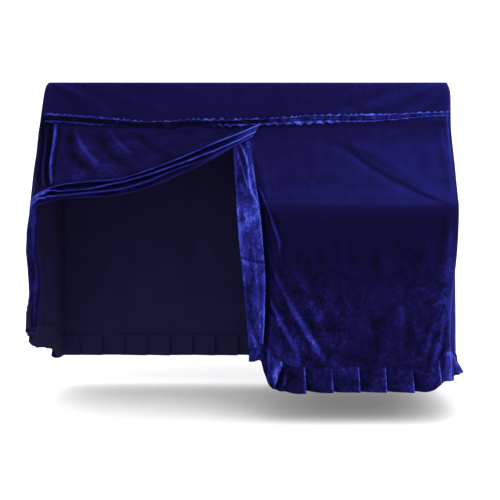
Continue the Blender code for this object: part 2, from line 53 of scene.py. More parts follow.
Array = np.ndarray
Rows = Tuple[Tuple[float, ...], ...]
Colour = Tuple[float, float, float]
Limit = Tuple[str, float, float]
Measures = Mapping[str, Array]
Socket = bpy.types.NodeSocket

BODY = "root"               # the body that every piece rides on
CLOTH = 0.0018              # velvet with its backing
SEAM = 0.0009               # space between two pieces sewn on a folded seam
SIDE_SEAM = 0.0008          # space along the sides' curved seams
UP = np.array((0.0, 0.0, 1.0))


# ------------------------------------------------------------------ curves and unevenness
def blend(low: Array, high: Array, share: Array) -> Array:
    """Mix two values."""
    return low + (high - low) * share


def ease(start: float, end: float, value: Array) -> Array:
    """Rise smoothly from 0 at start to 1 at end."""
    share = np.clip((value - start) / (end - start), 0.0, 1.0)
    return share * share * (3.0 - 2.0 * share)


def bump(value: Array, centre: Array, width: float) -> Array:
    """Rise softly to 1 at a centre."""
    return np.exp(-((value - centre) / width) ** 2)


def spaced(x: Array, y: Array, z: Array) -> Array:
    """Put three coordinates together into points."""
    return np.stack(np.broadcast_arrays(x, y, z), axis=-1).astype(float)


def unit(vectors: Array) -> Array:
    """Scale vectors to a length of one."""
    return vectors / np.maximum(np.linalg.norm(vectors, axis=-1, keepdims=True), 1e-9)


def outward(turn: Array) -> Array:
    """Ways out of the cloth, where turn is 0 on the front and 1 on the right side."""
    angle = np.radians(90.0 * turn)
    return spaced(np.sin(angle), -np.cos(angle), 0.0 * angle)


@dataclass(frozen=True)
class Line:
    """A smooth line through a short table that never overshoots its rows."""

    rows: Rows

    def at(self, position: Array, column: int = 1) -> Array:
        """Read a column at positions of the first column.

        Args:
            position: Places along the first column, held between its ends.
            column: The column to read.

        Returns:
            One value for each position.
        """
        table = np.array(self.rows)
        places, values = table[:, 0], table[:, column]
        slopes = np.diff(values) / np.diff(places)
        product = slopes[:-1] * slopes[1:]
        total = np.where(product > 0.0, slopes[:-1] + slopes[1:], 1.0)
        inner = np.where(product > 0.0, 2.0 * product / total, 0.0)
        tangents = np.concatenate((slopes[:1], inner, slopes[-1:]))
        held = np.clip(position, places[0], places[-1])
        step = np.clip(np.searchsorted(places, held, side="right") - 1, 0, len(places) - 2)
        span = places[step + 1] - places[step]
        t = (held - places[step]) / span
        return ((2 * t**3 - 3 * t**2 + 1) * values[step]
                + (t**3 - 2 * t**2 + t) * span * tangents[step]
                + (3 * t**2 - 2 * t**3) * values[step + 1]
                + (t**3 - t**2) * span * tangents[step + 1])


def through(stations: Array, place: Array) -> Array:
    """Follow the smooth curve through stations.

    Args:
        stations: Points or values, one for each whole number of place. A second axis, where it
            matches place, gives each place stations of its own.
        place: Where along the stations to read.

    Returns:
        A point or value for each place.
    """
    first = 2.0 * stations[:1] - stations[1:2]
    last = 2.0 * stations[-1:] - stations[-2:-1]
    padded = np.concatenate((first, stations, last))
    step = np.clip(place.astype(int), 0, len(stations) - 2)
    t = place - step
    if stations.ndim == 2 and stations.shape[1] == place.shape[0] and stations.shape[1] != 3:
        own = np.arange(place.shape[0])
        before, here, after, beyond = (padded[step + i, own] for i in range(4))
    else:
        before, here, after, beyond = (padded[step + i] for i in range(4))
        t = t[:, None] if stations.ndim == 2 else t
    return 0.5 * (2.0 * here + (after - before) * t
                  + (2.0 * before - 5.0 * here + 4.0 * after - beyond) * t**2
                  + (3.0 * here - before - 3.0 * after + beyond) * t**3)


def uneven(u: Array, v: Array, seed: int, octaves: int = 1) -> Array:
    """Give smooth, repeatable unevenness over a surface.

    Args:
        u: First coordinate, in lumps.
        v: Second coordinate, in lumps.
        seed: Number of the pattern.
        octaves: How many finer patterns are laid over each other.

    Returns:
        Values between about -1 and 1.
    """
    lattice = np.random.default_rng(seed).uniform(-1.0, 1.0, (64, 64))
    total, size = 0.0, 1.0
    for octave in range(octaves):
        a = u * 2.0**octave + 7.3 * octave
        b = v * 2.0**octave + 3.1 * octave
        i, j = np.floor(a).astype(int), np.floor(b).astype(int)
        s, t = a - i, b - j
        s, t = s * s * (3.0 - 2.0 * s), t * t * (3.0 - 2.0 * t)
        low = blend(lattice[i % 64, j % 64], lattice[(i + 1) % 64, j % 64], s)
        high = blend(lattice[i % 64, (j + 1) % 64], lattice[(i + 1) % 64, (j + 1) % 64], s)
        total = total + blend(low, high, t) * size
        size *= 0.5
    return total


# ------------------------------------------------------------------ finishes
class Nodes:
    """A short hand for wiring one material."""

    def __init__(self, name: str) -> None:
        """Start a material with an empty Principled shader.

        Args:
            name: Name of the material.
        """
        self.material = bpy.data.materials.new(name)
        self.material.use_nodes = True
        self.tree = self.material.node_tree
        self.shader = self.tree.nodes["Principled BSDF"]

    def add(self, kind: str, inputs: Mapping[object, object], **settings: object) -> bpy.types.Node:
        """Add a node.

        Args:
            kind: Node type, without its prefix.
            inputs: Values of its inputs, or sockets to join them to.
            **settings: Properties of the node.

        Returns:
            The new node.
        """
        node = self.tree.nodes.new("ShaderNode" + kind)
        for key, value in settings.items():
            setattr(node, key, value)
        self.feed(node, inputs)
        return node

    def feed(self, node: bpy.types.Node, inputs: Mapping[object, object]) -> None:
        """Set a node's inputs, or join them to other sockets.

        Args:
            node: The node.
            inputs: Values or sockets, by the name or number of the input.
        """
        for key, value in inputs.items():
            if isinstance(value, Socket):
                self.tree.links.new(value, node.inputs[key])
            else:
                node.inputs[key].default_value = value

    def sum_of(self, *terms: Tuple[Socket, float]) -> Socket:
        """Add sockets up, each times its weight.

        Args:
            *terms: Pairs of a socket and its weight.

        Returns:
            The socket that holds the sum.
        """
        total = 0.0
        for socket, weight in terms:
            total = self.add("Math", {0: socket, 1: weight, 2: total},
                             operation="MULTIPLY_ADD").outputs[0]
        return total

    def times(self, first: Socket, second: Socket) -> Socket:
        """Multiply two sockets."""
        return self.add("Math", {0: first, 1: second}, operation="MULTIPLY").outputs[0]

    def ramp(self, tone: Socket, *stops: Tuple[float, Colour]) -> Socket:
        """Turn a tone into a colour.

        Args:
            tone: The socket that holds the tone.
            *stops: Tones and their colours, in order.

        Returns:
            The socket that holds the colour.
        """
        node = self.add("ValToRGB", {"Fac": tone})
        elements = node.color_ramp.elements
        for element, (place, colour) in zip(elements, (stops[0], stops[-1])):
            element.position, element.color = place, (*colour, 1.0)
        for place, colour in stops[1:-1]:
            elements.new(place).color = (*colour, 1.0)
        return node.outputs["Color"]


@dataclass(frozen=True)
class Velvet:
    """Crushed velvet, its colour set by a tone of painted light and shade and crushed mottling."""

    name: str
    # deep to bright: colours along the tone, from painted shade to painted highlight, which the
    # crushed mottling also moves along
    deep: Colour = (0.0008, 0.0009, 0.0060)
    calm: Colour = (0.0040, 0.0029, 0.0350)
    laid: Colour = (0.0120, 0.0130, 0.1500)
    bright: Colour = (0.070, 0.095, 0.5600)
    sheen: Colour = (0.04, 0.05, 0.80)
    stretch: float = 0.70           # how drawn out along the cloth the crushing is
    patches: float = 24.0           # crushed patches in a metre
    specks: float = 110.0           # and finer specks
    tufts: float = 900.0            # tufts of the pile in a metre
    patch_tone: float = 0.30        # how much each of them changes the tone
    speck_tone: float = 0.22
    fold_tone: float = 0.24
    tuft_tone: float = 0.04

    def make(self) -> bpy.types.Material:
        """Wire the material.

        Returns:
            The finished material, which reads crush, lay and fold: crushing and painted light and
            shade.
        """
        nodes = Nodes(self.name)
        cloth = nodes.add("TexCoord", {}).outputs["UV"]
        drawn = nodes.add("Mapping", {"Vector": cloth,
                                      "Scale": (1.0, self.stretch, 1.0)}).outputs[0]
        patch = nodes.add("TexNoise", {"Vector": drawn, "Scale": self.patches, "Detail": 5.0,
                                       "Roughness": 0.62, "Distortion": 0.4}).outputs["Fac"]
        speck = nodes.add("TexNoise", {"Vector": drawn, "Scale": self.specks, "Detail": 3.0,
                                       "Distortion": 0.4}).outputs["Fac"]
        tuft = nodes.add("TexNoise", {"Vector": cloth, "Scale": self.tufts,
                                      "Detail": 1.0}).outputs["Fac"]
        crush, pile_and_light, fold = (nodes.add("Attribute", {}, attribute_name=name).outputs["Fac"]
                            for name in ("crush", "pile_and_light", "fold"))
        centred = [nodes.add("MapRange", {"Value": noise, "From Min": 0.36, "From Max": 0.66,
                                          "To Min": -0.5, "To Max": 0.5}).outputs[0]
                   for noise in (patch, speck)]
        mottling = nodes.sum_of((centred[0], self.patch_tone), (centred[1], self.speck_tone))
        # the tone adds the pieces' painted light and shade and the folds' painted highlights and
        # shade to the crushed mottling and the tufts
        tone = nodes.sum_of((pile_and_light, 1.0), (nodes.times(mottling, crush), 1.0),
                            (fold, self.fold_tone), (tuft, self.tuft_tone))
        relief = nodes.sum_of((tuft, 0.6), (nodes.times(speck, crush), 2.0))
        bent = nodes.add("Bump", {"Height": relief, "Strength": 0.35, "Distance": 0.0006})
        nodes.feed(nodes.shader, {
            "Base Color": nodes.ramp(tone, (0.02, self.deep), (0.30, self.calm),
                                     (0.62, self.laid), (0.98, self.bright)),
            "Normal": bent.outputs["Normal"], "Roughness": 0.75, "Specular IOR Level": 0.015,
            "Sheen Weight": 0.22, "Sheen Roughness": 0.28, "Sheen Tint": (*self.sheen, 1.0)})
        return nodes.material


@dataclass(frozen=True)
class WrongSide:
    """The velvet's knitted backing, matt, with fine upright ribs."""

    name: str = "velvet_backing"
    thread: Colour = (0.012, 0.010, 0.052)
    gap: Colour = (0.004, 0.0035, 0.020)
    ribs: float = 420.0             # ribs in a metre

    def make(self) -> bpy.types.Material:
        """Wire the material.

        Returns:
            The finished material.
        """
        nodes = Nodes(self.name)
        cloth = nodes.add("TexCoord", {}).outputs["UV"]
        rib = nodes.add("TexWave", {"Vector": cloth, "Scale": self.ribs / 2.0, "Distortion": 1.5},
                        wave_type="BANDS", bands_direction="X").outputs["Fac"]
        cloud = nodes.add("TexNoise", {"Vector": cloth, "Scale": 12.0,
                                       "Detail": 4.0}).outputs["Fac"]
        tone = nodes.sum_of((rib, 0.35), (cloud, 0.65))
        bent = nodes.add("Bump", {"Height": rib, "Strength": 0.3, "Distance": 0.0004})
        nodes.feed(nodes.shader, {
            "Base Color": nodes.ramp(tone, (0.0, self.gap), (1.0, self.thread)),
            "Normal": bent.outputs["Normal"], "Roughness": 0.9, "Specular IOR Level": 0.1})
        return nodes.material


@dataclass(frozen=True)
class StudioPaper:
    """Matt white paper of the floor and backdrop."""

    name: str = "studio_paper"
    colour: Colour = (0.93, 0.93, 0.93)

    def make(self) -> bpy.types.Material:
        """Wire the material.

        Returns:
            The finished material.
        """
        nodes = Nodes(self.name)
        nodes.feed(nodes.shader, {"Base Color": (*self.colour, 1.0), "Roughness": 0.95,
                                  "Specular IOR Level": 0.0})
        return nodes.material


# ------------------------------------------------------------------ soft folds
@dataclass(frozen=True)
class Fold:
    """One soft fold.

    Attributes:
        x_top: Place along the cloth of its upper end.
        z_top: Height of its upper end.
        x_end: Place of its lower end.
        z_end: Height of its lower end.
        bow: How far its middle stands aside from the line between its ends.
        width: Half width.
        lift: How far it stands out, or in where it is negative.
        lean: How much wider its right side is.
        glow: Painted highlight along it for each metre of lift, painted shade where the lift is
            negative.
    """

    x_top: float
    z_top: float
    x_end: float
    z_end: float
    bow: float
    width: float
    lift: float
    lean: float = 1.0
    glow: float = 0.0

    def lift_at(self, along: Array, height: Array) -> Array:
        """Lift of the cloth.

        Args:
            along: Place along the cloth.
            height: Height of each place.

        Returns:
            The fold's part of the lift at each place.
        """
        share = (height - self.z_top) / (self.z_end - self.z_top)
        held = np.clip(share, 0.0, 1.0)
        centre = blend(self.x_top, self.x_end, held) + self.bow * 4.0 * held * (1.0 - held)
        wander = 0.25 * self.width * uneven(height * 14.0, height * 0.0 + self.x_top * 31.0, 5, 2)
        reach = ease(-0.3, 0.25, share) * ease(1.3, 0.9, share)
        off = along - centre - wander
        half = np.where(off > 0.0, self.width * self.lean, self.width)
        return self.lift * reach * np.exp(-(off / half) ** 2)


Folds = Tuple[Fold, ...]


def folded(folds: Folds, along: Array, height: Array) -> Array:
    """Lift of all the folds that pass each place."""
    return sum(fold.lift_at(along, height) for fold in folds)


def painted_fold_light(folds: Folds, along: Array, height: Array) -> Array:
    """Painted highlight and shade that the folds give each place."""
    return sum(fold.glow * fold.lift_at(along, height) for fold in folds if fold.glow)


# ------------------------------------------------------------------ painted light and shade, and crushing
@dataclass(frozen=True)
class Shade:
    """An amount of painted light and shade, or of crushing, in a part of a piece.

    Attributes:
        amount: The amount where all the limits are passed.
        rises: Measure that each rise follows, and where it is 0 and 1.
        spots: Measure, centre and half width of each soft spot.
        lumps: Two measures with their lumps in a unit, the pattern's number and its octaves.
    """

    amount: float
    rises: Tuple[Limit, ...] = ()
    spots: Tuple[Limit, ...] = ()
    lumps: Tuple[object, ...] = ()

    def at(self, measures: Measures) -> Array:
        """Read the shade.

        Args:
            measures: Values of each measure, by its name.

        Returns:
            The amount at each place.
        """
        value = self.amount + 0.0 * measures["x"]
        for name, start, end in self.rises:
            value = value * ease(start, end, measures[name])
        for name, centre, width in self.spots:
            value = value * bump(measures[name], centre, width)
        if self.lumps:
            first, per_first, second, per_second, seed, octaves = self.lumps
            value = value * uneven(measures[first] * per_first, measures[second] * per_second,
                                   seed, octaves)
        return value


Shades = Tuple[Shade, ...]


def shaded(shades: Shades, measures: Measures) -> Array:
    """Add all the shades of a piece."""
    return sum(shade.at(measures) for shade in shades)


# ------------------------------------------------------------------ the lines that pieces share
@dataclass(frozen=True)
class Form:
    """The shape in which the cover hangs, as the lines where its pieces meet."""

    half_depth: float = 0.188       # centre of the lid to the cloth over its front and back
    corner: float = 0.026           # radius around an upright front corner
    back_corner: float = 0.010
    back_spread: float = 0.004      # how far the back's ends stand outside the lid's
    back_flare: float = 0.008
    top_line: float = 0.002         # upper edge of what hangs around the top
    hem_line: float = -1.035        # seam between the cloth and its ruffle
    band_height: float = -0.150     # about where the shirred band lies
    crease: float = -0.457          # where the cloth breaks over the keybed
    corner_share: float = 0.1       # share of the valance's columns on each corner
    curtain_corner: float = 0.09    # share of the closed curtain's columns on its corner
    overlap: float = 0.006          # how far the drawn curtain lies before the closed one
    front_line: Line = Line((
        (-1.120, -0.446), (-1.040, -0.445), (-0.800, -0.441), (-0.500, -0.439),
        (-0.457, -0.434), (-0.430, -0.417), (-0.360, -0.358), (-0.250, -0.266),
        (-0.190, -0.222), (-0.150, -0.203), (-0.080, -0.192), (0.000, -0.188)))
    right_corner: Line = Line((
        (-1.120, 0.748), (-1.040, 0.734), (-0.970, 0.727), (-0.870, 0.726), (-0.760, 0.732),
        (-0.650, 0.746), (-0.540, 0.754), (-0.420, 0.758), (-0.280, 0.768), (-0.060, 0.776),
        (-0.030, 0.774), (0.000, 0.764)))
    left_line: Line = Line((
        (-0.960, 0.812, -0.268), (-0.885, 0.812, -0.265), (-0.750, 0.812, -0.260),
        (-0.600, 0.820, -0.250), (-0.500, 0.820, -0.235), (-0.360, 0.812, -0.210),
        (-0.250, 0.802, -0.190), (-0.160, 0.795, -0.178), (-0.100, 0.789, -0.168),
        (-0.060, 0.784, -0.165), (-0.030, 0.779, -0.163), (-0.010, 0.773, -0.162),
        (0.000, 0.766, -0.162)))
    band_line: Line = Line((
        (-0.780, -0.130), (-0.740, -0.131), (-0.630, -0.138), (-0.510, -0.147),
        (-0.400, -0.153), (-0.300, -0.153), (-0.200, -0.147), (-0.080, -0.148),
        (0.050, -0.143), (0.150, -0.138), (0.240, -0.132), (0.440, -0.131),
        (0.550, -0.127), (0.660, -0.118), (0.780, -0.112)))
    right_hem: Line = Line((
        (-0.020, -0.972), (0.020, -0.962), (0.050, -0.945), (0.080, -0.986), (0.120, -1.014),
        (0.170, -1.032), (0.300, -1.035), (0.620, -1.033), (0.655, -1.025), (0.685, -1.004),
        (0.705, -0.980), (0.760, -0.974)))
    right_side_hem: Line = Line((
        (-0.430, -0.974), (-0.400, -0.980), (-0.300, -1.008), (-0.100, -1.030), (0.200, -1.035)))
    left_hem: Line = Line((
        (-0.300, -0.872), (-0.265, -0.885), (-0.195, -0.920), (-0.020, -0.965),
        (0.060, -1.015), (0.200, -1.035)))

    def front(self, height: Array) -> Array:
        """Depth of the front cloth."""
        return self.front_line.at(height)

    def right_half(self, height: Array) -> Array:
        """Outer line of the right front corner."""
        return self.right_corner.at(height)

    def left_seam(self, height: Array) -> Array:
        """Points of the left side's front seam.

        Args:
            height: Height of each point.

        Returns:
            The points.
        """
        around = self.front(height) + self.corner
        free = self.left_line.at(height, 2)
        y = blend(around, free, ease(self.band_height, -0.25, height))
        return spaced(-self.left_line.at(height), y, height)

    def back_half(self, height: Array) -> Array:
        """Half width of the back."""
        lid = float(self.right_half(np.array(0.0)))
        return lid + self.back_spread * ease(0.0, -0.1, height)

    def back(self, height: Array) -> Array:
        """Depth of the back cloth."""
        return self.half_depth + self.back_flare * ease(0.0, self.hem_line, height)

    def front_x(self, share: Array, height: Array) -> Array:
        """Place across of the flat of the front cloth, between its two corners.

        Args:
            share: Place along the front cloth, from the left seam to the right one.
            height: Height of each point.

        Returns:
            Place across of each point.
        """
        flat = np.clip((share - self.corner_share) / (1.0 - 2.0 * self.corner_share), 0.0, 1.0)
        left = -self.left_line.at(height) + self.corner
        return blend(left, self.right_half(height) - self.corner, flat)

    def front_at(self, share: Array, height: Array) -> Tuple[Array, Array]:
        """Follow the plain front cloth around both corners.

        Args:
            share: Place along it, from the left seam to the right one.
            height: Height of each point.

        Returns:
            The points, and the ways out of the cloth there.
        """
        c = self.corner_share
        turn = np.where(share < c, share / c - 1.0, np.maximum(share - 1.0 + c, 0.0) / c)
        out = outward(turn)
        centre = spaced(self.front_x(share, height), self.front(height) + self.corner, height)
        return centre + out * self.corner, out

    def curtain_height(self, down: Array, top: Array, foot: Array) -> Array:
        """Height of a closed curtain's row, finer where it breaks over the keybed.

        Args:
            down: Share of the curtain's rows.
            top: Height of its upper edge.
            foot: Height of its hem.

        Returns:
            Height of each point.
        """
        shares = (0.0, 0.33, 0.46, 1.0)
        stops = (top, self.crease + 0.045, self.crease - 0.030, foot)
        height = top + 0.0 * down
        for (start, end), (high, low) in zip(zip(shares, shares[1:]), zip(stops, stops[1:])):
            height = height + (low - high) * np.clip((down - start) / (end - start), 0.0, 1.0)
        return height


FORM = Form()


# ------------------------------------------------------------------ making sheets
class Held(Enum):
    """How a piece of cloth is held."""

    LAID = "laid"
    HUNG = "hung"
    GATHERED = "gathered"


@dataclass(frozen=True)
class Cut:
    """Flat size that a piece was cut to, and how it is held."""

    width: float
    length: float
    held: Held = Held.HUNG
    area: Optional[float] = None


def soften(grid: Array, times: int) -> Array:
    """Smooth a grid of points or values.

    Args:
        grid: Values in rows and columns.
        times: How often each value is mixed with its neighbours.

    Returns:
        The smoothed grid.
    """
    for _ in range(times):
        for axis in (0, 1):
            ends = [(0, 0)] * grid.ndim
            ends[axis] = (1, 1)
            wide = np.pad(grid, ends, mode="edge")
            low = np.take(wide, range(0, wide.shape[axis] - 2), axis)
            high = np.take(wide, range(2, wide.shape[axis]), axis)
            grid = (low + 2.0 * grid + high) / 4.0
    return grid


@dataclass
class ClothPiece:
    """One sheet of velvet: a grid shaped by place(), thickened and dressed.

    Attributes:
        node: Name of the solid that the sheet stands for, and its own name before "_cloth".
        columns: Cells of the grid across.
        rows: Cells of the grid down.
        cut: Flat size of the cloth.
        slot: Material slot of the record.
        turned_over: True where the grid's face looks inwards.
        fold_size: Depth of a fold whose painted highlight or shade is full.
        tones: Painted light and shade, with uneven tone: 0.3 where the pile is calm.
        crushing: How crushed the pile is, from 0 to 1.
        shading: How strongly the folds' painted highlights and shade show, from 0 to 1.
    """

    node: str
    columns: int
    rows: int
    cut: Cut
    slot: str = "velvet"
    turned_over: bool = False
    fold_size: float = 0.0022
    tones: Shades = (Shade(0.30),)
    crushing: Shades = (Shade(0.25),)
    shading: Shades = (Shade(1.0),)

    def place(self, across: Array, down: Array) -> Array:
        """Points of the sheet at shares across and down."""
        raise NotImplementedError

    def measures(self, points: Array, across: Array, down: Array) -> Measures:
        """Name the values that a shade can follow."""
        x, y, z = points.T
        return {"x": x, "y": y, "z": z, "across": across, "down": down}

    def pile_and_light(self, measures: Measures) -> Array:
        """Painted light and shade, with uneven tone, at each point."""
        return shaded(self.tones, measures)

    def build(self) -> bpy.types.Object:
        """Shape the sheet, write its attributes and scale its map.

        Returns:
            The shaped mesh object, without thickness or materials.
        """
        bpy.ops.object.select_all(action="DESELECT")
        bpy.ops.mesh.primitive_grid_add(x_subdivisions=self.columns, y_subdivisions=self.rows,
                                        size=1.0)
        piece = bpy.context.object
        piece.name = piece.data.name = self.node + "_cloth"
        mesh = piece.data
        flat = np.empty(len(mesh.vertices) * 3)
        mesh.vertices.foreach_get("co", flat)
        flat = flat.reshape(-1, 3)
        across, down = flat[:, 0] + 0.5, 0.5 - flat[:, 1]
        points = self.place(across, down)
        mesh.vertices.foreach_set("co", points.ravel())
        self.paint(mesh, points, across, down)
        self.scale_uv(mesh)
        mesh.update()
        if self.turned_over:
            bpy.ops.object.mode_set(mode="EDIT")
            bpy.ops.mesh.select_all(action="SELECT")
            bpy.ops.mesh.flip_normals()
            bpy.ops.object.mode_set(mode="OBJECT")
        bpy.ops.object.shade_smooth()
        return piece

    def paint(self, mesh: bpy.types.Mesh, points: Array, across: Array, down: Array) -> None:
        """Write how crushed the pile is, and its painted light and shade, at each point.

        Args:
            mesh: The sheet's mesh.
            points: Its points.
            across: Share across of each point.
            down: Share down of each point.
        """
        grid = points.reshape(self.rows + 1, self.columns + 1, 3)
        right = np.gradient(grid, axis=1)
        above = np.gradient(grid, axis=0)
        out = unit(np.cross(right, above)) * (-1.0 if self.turned_over else 1.0)
        # painted highlights on fold crests and painted shade in their hollows, from how far each
        # point stands out of its smoothed neighbours
        raised = ((grid - soften(grid, 14)) * out).sum(axis=-1)
        fold = np.clip(soften(raised, 1) / self.fold_size, -1.0, 1.0).ravel()
        measures = self.measures(points, across, down)
        values = {"crush": np.clip(shaded(self.crushing, measures), 0.0, 1.0),
                  "pile_and_light": self.pile_and_light(measures), "fold": fold * shaded(self.shading, measures)}
        for name, amounts in values.items():
            attribute = mesh.attributes.new(name, "FLOAT", "POINT")
            attribute.data.foreach_set("value", amounts.astype(np.float32))

    def scale_uv(self, mesh: bpy.types.Mesh) -> None:
        """Lay the cloth's own map out in metres of the flat cut.

        Args:
            mesh: The sheet's mesh.
        """
        layer = mesh.uv_layers[0].uv
        flat = np.empty(len(layer) * 2)
        layer.foreach_get("vector", flat)
        flat = flat.reshape(-1, 2) * (self.cut.width, self.cut.length)
        layer.foreach_set("vector", flat.ravel())

    def dress(self, piece: bpy.types.Object, velvet: bpy.types.Material,
              backing: bpy.types.Material) -> None:
        """Give the sheet its two faces and its thickness, and tie it to the frame.

        Args:
            piece: The shaped sheet.
            velvet: Material of the pile.
            backing: Material of the wrong side.
        """
        piece.data.materials.append(velvet)
        piece.data.materials.append(backing)
        wall = piece.modifiers.new("cloth", "SOLIDIFY")
        wall.thickness = CLOTH
        wall.offset = 0.0
        wall.material_offset = 1
        wall.material_offset_rim = 0
        bpy.context.view_layer.objects.active = piece
        bpy.ops.object.modifier_apply(modifier=wall.name)
        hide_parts(self.node)
        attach(piece, BODY)
        LOG.info("%s: %d faces", piece.name, len(piece.data.polygons))


# ------------------------------------------------------------------ top and valance
@dataclass
class TopPanel(ClothPiece):
    """The top, flat on the lid with its rim just turning over."""

    inset: float = 0.0014           # how far its rim stays inside the valance's
    swell: float = 0.0012           # height of the cloth over the lid
    rim: float = 0.06               # width over which it rises from its rim
    crushing: Shades = (Shade(0.35), Shade(0.10, lumps=("x", 4.0, "y", 4.0, 12, 1)))

    def place(self, across: Array, down: Array) -> Array:
        """Points of the top, its corners round when seen from above.

        Args:
            across: Share across of each point.
            down: Share down of each point.

        Returns:
            The points.
        """
        half_width = float(FORM.right_half(np.array(0.0))) - self.inset
        half_depth = FORM.half_depth - self.inset
        x = self.spread(across, half_width)
        y = -self.spread(down, half_depth)
        radius = np.where(y < 0.0, FORM.corner, FORM.back_corner) - self.inset
        over_x = np.maximum(np.abs(x) - half_width + radius, 0.0) / radius
        over_y = np.maximum(np.abs(y) - half_depth + radius, 0.0) / radius
        new_x = x - np.sign(x) * over_x * (1.0 - np.sqrt(1.0 - over_y**2 / 2.0)) * radius
        new_y = y - np.sign(y) * over_y * (1.0 - np.sqrt(1.0 - over_x**2 / 2.0)) * radius
        edge = np.minimum(half_width - np.abs(x), half_depth - np.abs(y))
        loose = ease(0.0, self.rim, edge) * (1.0 + uneven(x * 3.0, y * 7.0, 11, 2))
        return spaced(new_x, new_y, self.swell * (1.0 + loose))

    def spread(self, share: Array, half: float) -> Array:
        """Places along one side, closer together at the rims."""
        side = 2.0 * share - 1.0
        return half * (1.25 * side - 0.25 * side**3)


@dataclass
class Valance(ClothPiece):
    """The upper front strip, from the left seam around both corners, down to the band."""

    folds: Folds = (
        Fold(-0.730, 0.000, -0.520, -0.110, 0.020, 0.042, 0.0035),
        Fold(-0.640, 0.020, -0.300, -0.110, 0.000, 0.075, 0.0022),
        Fold(-0.700, -0.030, -0.600, -0.140, 0.000, 0.035, -0.0020),
        Fold(0.720, 0.000, 0.400, -0.110, -0.010, 0.080, 0.0028),
        Fold(0.730, -0.020, 0.600, -0.130, 0.000, 0.045, 0.0022),
    )
    ripple: float = 0.0015          # depth of its small unevenness
    rounding: float = 0.0016        # how far its upper edge turns in over the lid's
    crushing: Shades = (Shade(0.20), Shade(0.08, lumps=("x", 5.0, "z", 9.0, 22, 1)))
    # painted highlights along the top edge and down the right corner, and a lighter tone towards
    # the right
    tones: Shades = (               # brighter to the right, at the top edge and the right corner
        Shade(0.21), Shade(0.05, (("x", -0.7, 0.0),)), Shade(0.06, (("x", 0.0, 0.7),)),
        Shade(0.16, (("z", -0.007, 0.0),)), Shade(0.20, spots=(("across", 0.955, 0.012),)))

    def place(self, across: Array, down: Array) -> Array:
        """Points of the valance.

        Args:
            across: Share across of each point.
            down: Share down of each point.

        Returns:
            The points.
        """
        middle = FORM.front_x(across, np.full_like(across, FORM.band_height))
        foot = FORM.band_line.at(middle) + SEAM / 2.0
        height = blend(FORM.top_line, foot, down)
        point, out = FORM.front_at(across, height)
        c = FORM.corner_share
        flat = ease(0.0, c, across) * ease(1.0, 1.0 - c, across)
        lift = flat * folded(self.folds, point[:, 0], height)
        small = self.ripple * uneven(point[:, 0] * 5.0, height * 9.0, 21, 2)
        lift += flat * small * ease(0.0, 0.3, down)
        lift -= self.rounding * ease(-0.008, 0.002, height)
        return point + out * lift[:, None]


